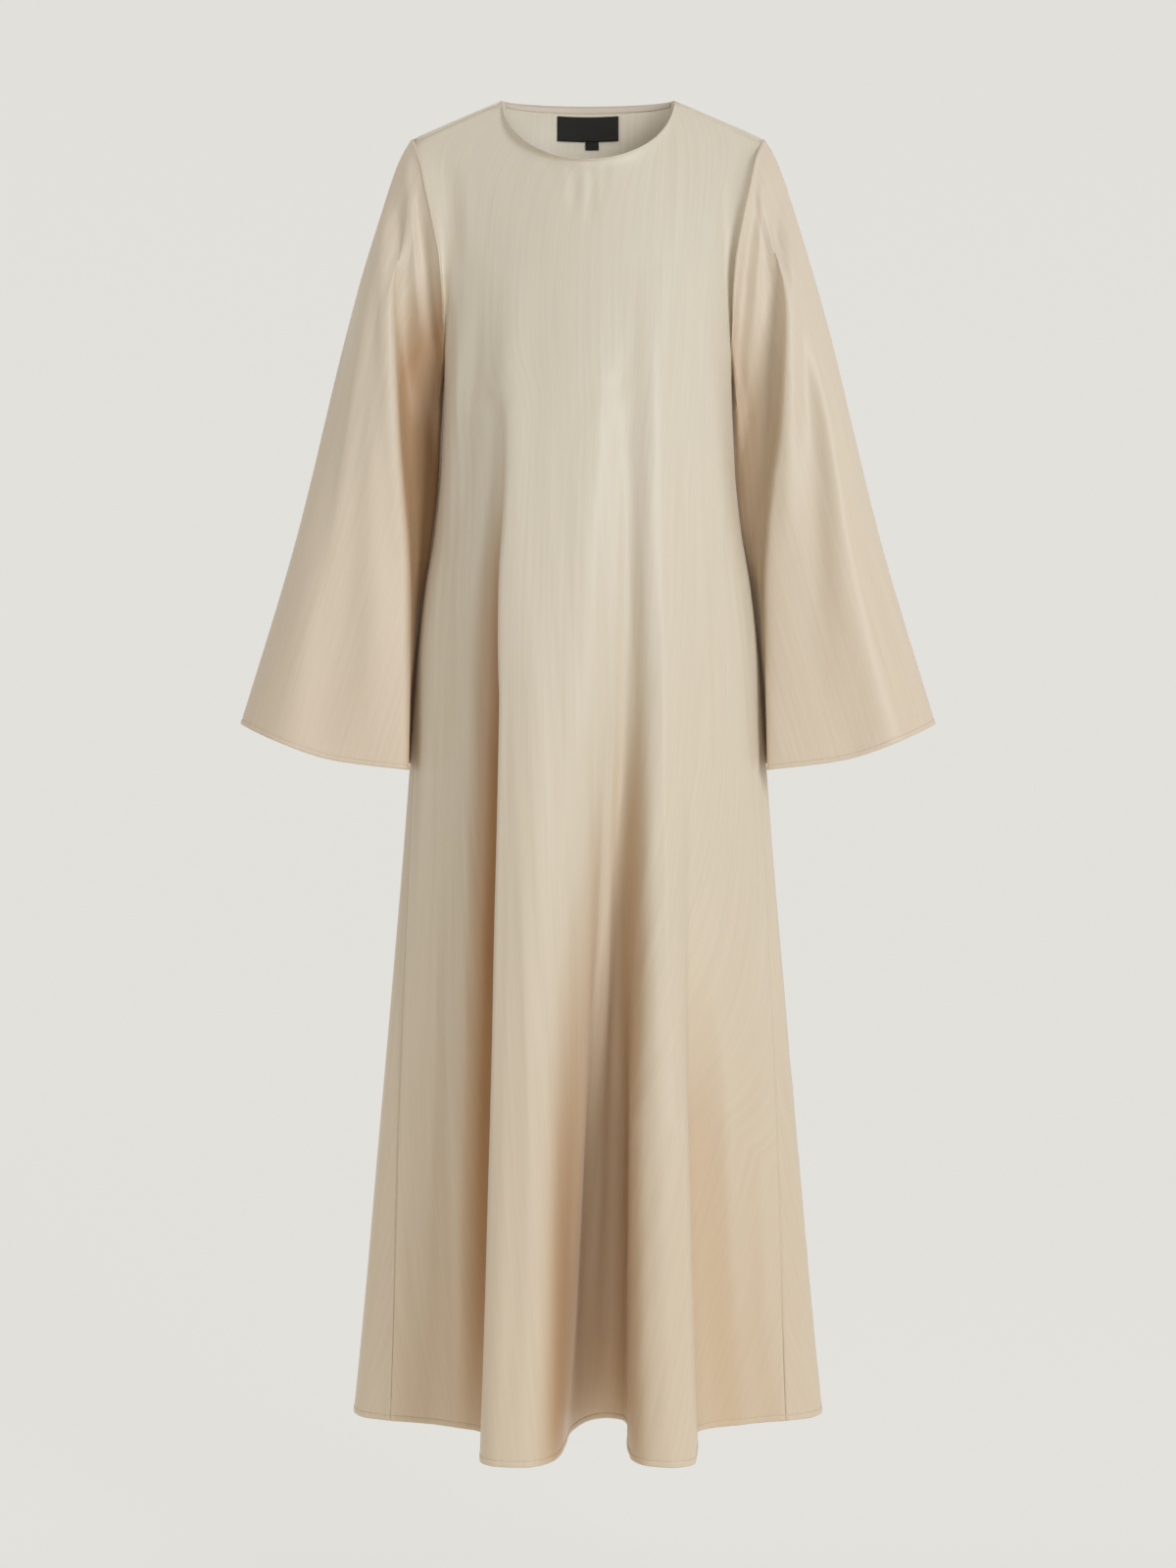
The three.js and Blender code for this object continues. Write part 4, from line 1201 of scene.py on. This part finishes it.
def make_label(back_tree, materials, form):
    """The neck label, folded under all round and stitched along its four sides."""
    points = trim_points(back_tree, 0.0, LABEL_WIDTH, LABEL_TOP, LABEL_DEPTH, LABEL_INSET,
                         LABEL_COLUMNS, LABEL_ROWS)
    across = (np.linspace(0, 1, LABEL_COLUMNS) - 0.5)[:, None]
    down = np.linspace(0, 1, LABEL_ROWS)[None, :]
    edge = np.minimum(LABEL_WIDTH * (0.5 - np.abs(across)), LABEL_DEPTH * np.minimum(down, 1 - down))
    fold = LABEL_FOLD[0] * (1 - np.exp(-edge / LABEL_FOLD[1]))
    fold = fold + LABEL_RIDGE[0] * bump(edge - LABEL_RIDGE[1], LABEL_RIDGE[2])
    points[..., 1] -= fold + LABEL_LIFT * down * np.sin(math.pi * (across + 0.5))
    piece = sheet_piece("label", points, False, True, LABEL_THICKNESS)
    coat(piece, materials["label"])
    normal = grid_normals(points)
    reach = LABEL_WIDTH / 2 - LABEL_STITCH_INSET
    order = np.arange(LABEL_COLUMNS)
    column = np.interp(np.linspace(-reach, reach, 60), points[:, 0, 0], order)
    lines = []
    for row in (1, LABEL_ROWS - 2):
        path, ways = (np.stack([np.interp(column, order, grid[:, row, k]) for k in range(3)], axis=1)
                      for grid in (points, normal))
        lines.append(stitch_line("label_stitches_%d" % row, path, ways, LABEL_STITCH, form))
    for side in (1, LABEL_COLUMNS - 2):
        path, ways = points[side, 1:-1], normal[side, 1:-1]
        lines.append(stitch_line("label_stitches_side_%d" % side, path, ways, LABEL_STITCH, form))
    for line in lines:
        coat(line, materials["black thread"])
    return piece, lines


def make_size_tab(back_tree, materials):
    """The size tab, a small folded loop whose top is tucked under the label."""
    top = LABEL_TOP - LABEL_DEPTH + TAB_TUCK
    points = trim_points(back_tree, TAB_CENTRE, TAB_WIDTH, top, TAB_DEPTH + TAB_TUCK, TAB_INSET,
                         TAB_POINTS, TAB_POINTS)
    down = np.linspace(0, 1, TAB_POINTS)[None, :]
    points[..., 1] -= TAB_STAND + TAB_SWELL * np.sin(math.pi * down) ** 0.7
    piece = sheet_piece("size_tab", points, False, True, TAB_THICKNESS)
    coat(piece, materials["label"])
    return piece


# The room, in metres

FLOOR_Z = -1.62
ROOM_RADIUS = 7.0
COVE_RADIUS = 1.6
COVE_STEPS = 10
WALL_HEIGHT = 6.0
FLOOR_MIDDLE = 1.4

# Lights: where each stands and points, its size, power and colour
ROOM_MIDDLE = (0, 0, -0.7)
LIGHTS = (
    ("key", (1.9, -2.6, 0.5), ROOM_MIDDLE, (1.1, 1.9), 67, "#eff5ff"),
    ("fill", (-2.6, -1.8, -0.2), ROOM_MIDDLE, (1.6, 2.2), 11, "#f3f6ff"),
    ("front fill", (0.15, -3.0, -1.0), (0.03, 0, -0.9), (1.0, 1.0), 16, "#f9f7f4"),
    ("top fill", (-1.3, -0.45, 1.7), (0.06, 0.05, -0.05), (0.5, 0.5), 6, "#f6f7ff"),
)
DAYLIGHT = "#ebdbc8"
DAYLIGHT_STRENGTH = 0.4


def make_room():
    """A pale seamless bowl all round, with its floor below the hem."""
    floor_radius = ROOM_RADIUS - COVE_RADIUS
    bpy.ops.object.select_all(action="DESELECT")
    bpy.ops.mesh.primitive_circle_add(vertices=96, radius=floor_radius, fill_type="NGON",
                                      location=(0, 0, FLOOR_Z))
    floor = bpy.context.object
    bpy.ops.object.mode_set(mode="EDIT")
    bpy.ops.mesh.select_all(action="SELECT")
    bpy.ops.mesh.inset(thickness=floor_radius - FLOOR_MIDDLE, depth=0)
    bpy.ops.mesh.select_all(action="DESELECT")
    bpy.ops.mesh.select_mode(type="EDGE")
    bpy.ops.object.mode_set(mode="OBJECT")
    outermost = floor_radius - 0.1
    for edge in floor.data.edges:
        ends = [floor.data.vertices[v].co for v in edge.vertices]
        edge.select = all(math.hypot(end.x, end.y) > outermost for end in ends)
    bpy.ops.object.mode_set(mode="EDIT")
    quarter = math.pi / 2
    for k in range(COVE_STEPS):
        rise = COVE_RADIUS * quarter / COVE_STEPS * math.sin((k + 0.5) / COVE_STEPS * quarter)
        before, ring = (floor_radius + COVE_RADIUS * math.sin(step / COVE_STEPS * quarter)
                        for step in (k, k + 1))
        bpy.ops.mesh.extrude_edges_move(TRANSFORM_OT_translate={"value": (0, 0, rise)})
        bpy.ops.transform.resize(value=(ring / before, ring / before, 1), center_override=(0, 0, 0))
    bpy.ops.mesh.extrude_edges_move(TRANSFORM_OT_translate={"value": (0, 0, WALL_HEIGHT)})
    bpy.ops.object.mode_set(mode="OBJECT")
    bpy.ops.object.transform_apply(location=True, rotation=True, scale=True)
    bpy.ops.object.shade_smooth()
    floor.name = "studio_floor"
    floor.data.materials.append(studio_white())


def area_light(name, place, target, size, power, hex_code):
    """A soft rectangular lamp at a place, turned to a target."""
    light = bpy.data.lights.new(name, "AREA")
    light.shape = "RECTANGLE"
    light.size, light.size_y = size
    light.energy = power
    light.color = colour(hex_code)[:3]
    lamp = bpy.data.objects.new(name, light)
    bpy.context.collection.objects.link(lamp)
    lamp.location = place
    away = np.array(place) - np.array(target)
    heading = math.atan2(away[0], -away[1])
    pitch = math.atan2(math.hypot(away[0], away[1]), away[2])
    lamp.rotation_euler = (pitch, 0, heading)
    lamp.visible_camera = False


def light_room():
    for light in LIGHTS:
        area_light(*light)
    world = bpy.data.worlds.new("studio")
    bpy.context.scene.world = world
    world.use_nodes = True
    backdrop = world.node_tree.nodes["Background"]
    backdrop.inputs["Color"].default_value = colour(DAYLIGHT)
    backdrop.inputs["Strength"].default_value = DAYLIGHT_STRENGTH


def place_camera():
    lens = bpy.data.cameras.new("camera")
    lens.sensor_width = SENSOR
    lens.lens = CAMERA_LENS
    camera = bpy.data.objects.new("camera", lens)
    bpy.context.collection.objects.link(camera)
    camera.location = (0, -CAMERA_DISTANCE * MM, CAMERA_HEIGHT * MM)
    camera.rotation_euler = (math.pi / 2, 0, 0)
    bpy.context.scene.camera = camera


def main():
    place_camera()
    # The third colour of each crepe is its painted fold shade
    materials = {
        "cloth": satin_crepe("satin crepe", "#e1d6c0", "#dfccb1", "#bf9566", 0.44, 0.3),
        # The sleeves' crepe is a warmer copy of the body's, painted shade
        "sleeve cloth": satin_crepe("shaded satin crepe of the sleeves", "#e1d1b9", "#e0c9ad", "#bd9a74", 0.44, 0.3),
        "inside": satin_crepe("crepe wrong side", "#dccfbb", "#dac6a8", "#cdb08a", 0.62, 0.2),
        "thread": sewing_thread("beige thread", "#c2b196"),
        "black thread": sewing_thread("black thread", "#1b1b1b"),
        "label": woven_label(),
    }
    form = stitch_form()
    front = make_panel("abaya_front", FRONT, 224, 206, FRONT_CREASES, FRONT_FOLDS, 11, materials, form)
    back = make_panel("abaya_back", BACK, 150, 180, BACK_CREASES, BACK_FOLDS, 23, materials, form)
    left = make_sleeve("abaya_sleeve_left", -1, 128, 150, LEFT_SLEEVE_CREASES, LEFT_SHADE, 31,
                       materials, form)
    right = make_sleeve("abaya_sleeve_right", 1, 128, 150, RIGHT_SLEEVE_CREASES, RIGHT_SHADE, 47,
                        materials, form)
    shell = back[0].data
    back_tree = BVHTree.FromPolygons([v.co for v in shell.vertices], [p.vertices for p in shell.polygons])
    binding, binding_thread = make_binding(back_tree, materials, form)
    label, label_thread = make_label(back_tree, materials, form)
    tab = make_size_tab(back_tree, materials)

    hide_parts("front")
    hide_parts("back")
    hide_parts("sleeve_left")
    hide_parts("sleeve_right")
    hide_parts("back_neck_binding")
    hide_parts("label")
    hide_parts("size_tab")
    trim = (binding, binding_thread, label, *label_thread, tab)
    for piece in (*front, *back, *left, *right, *trim):
        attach(piece, "root")

    make_room()
    light_room()
    bpy.context.scene.view_settings.view_transform = "Standard"


main()
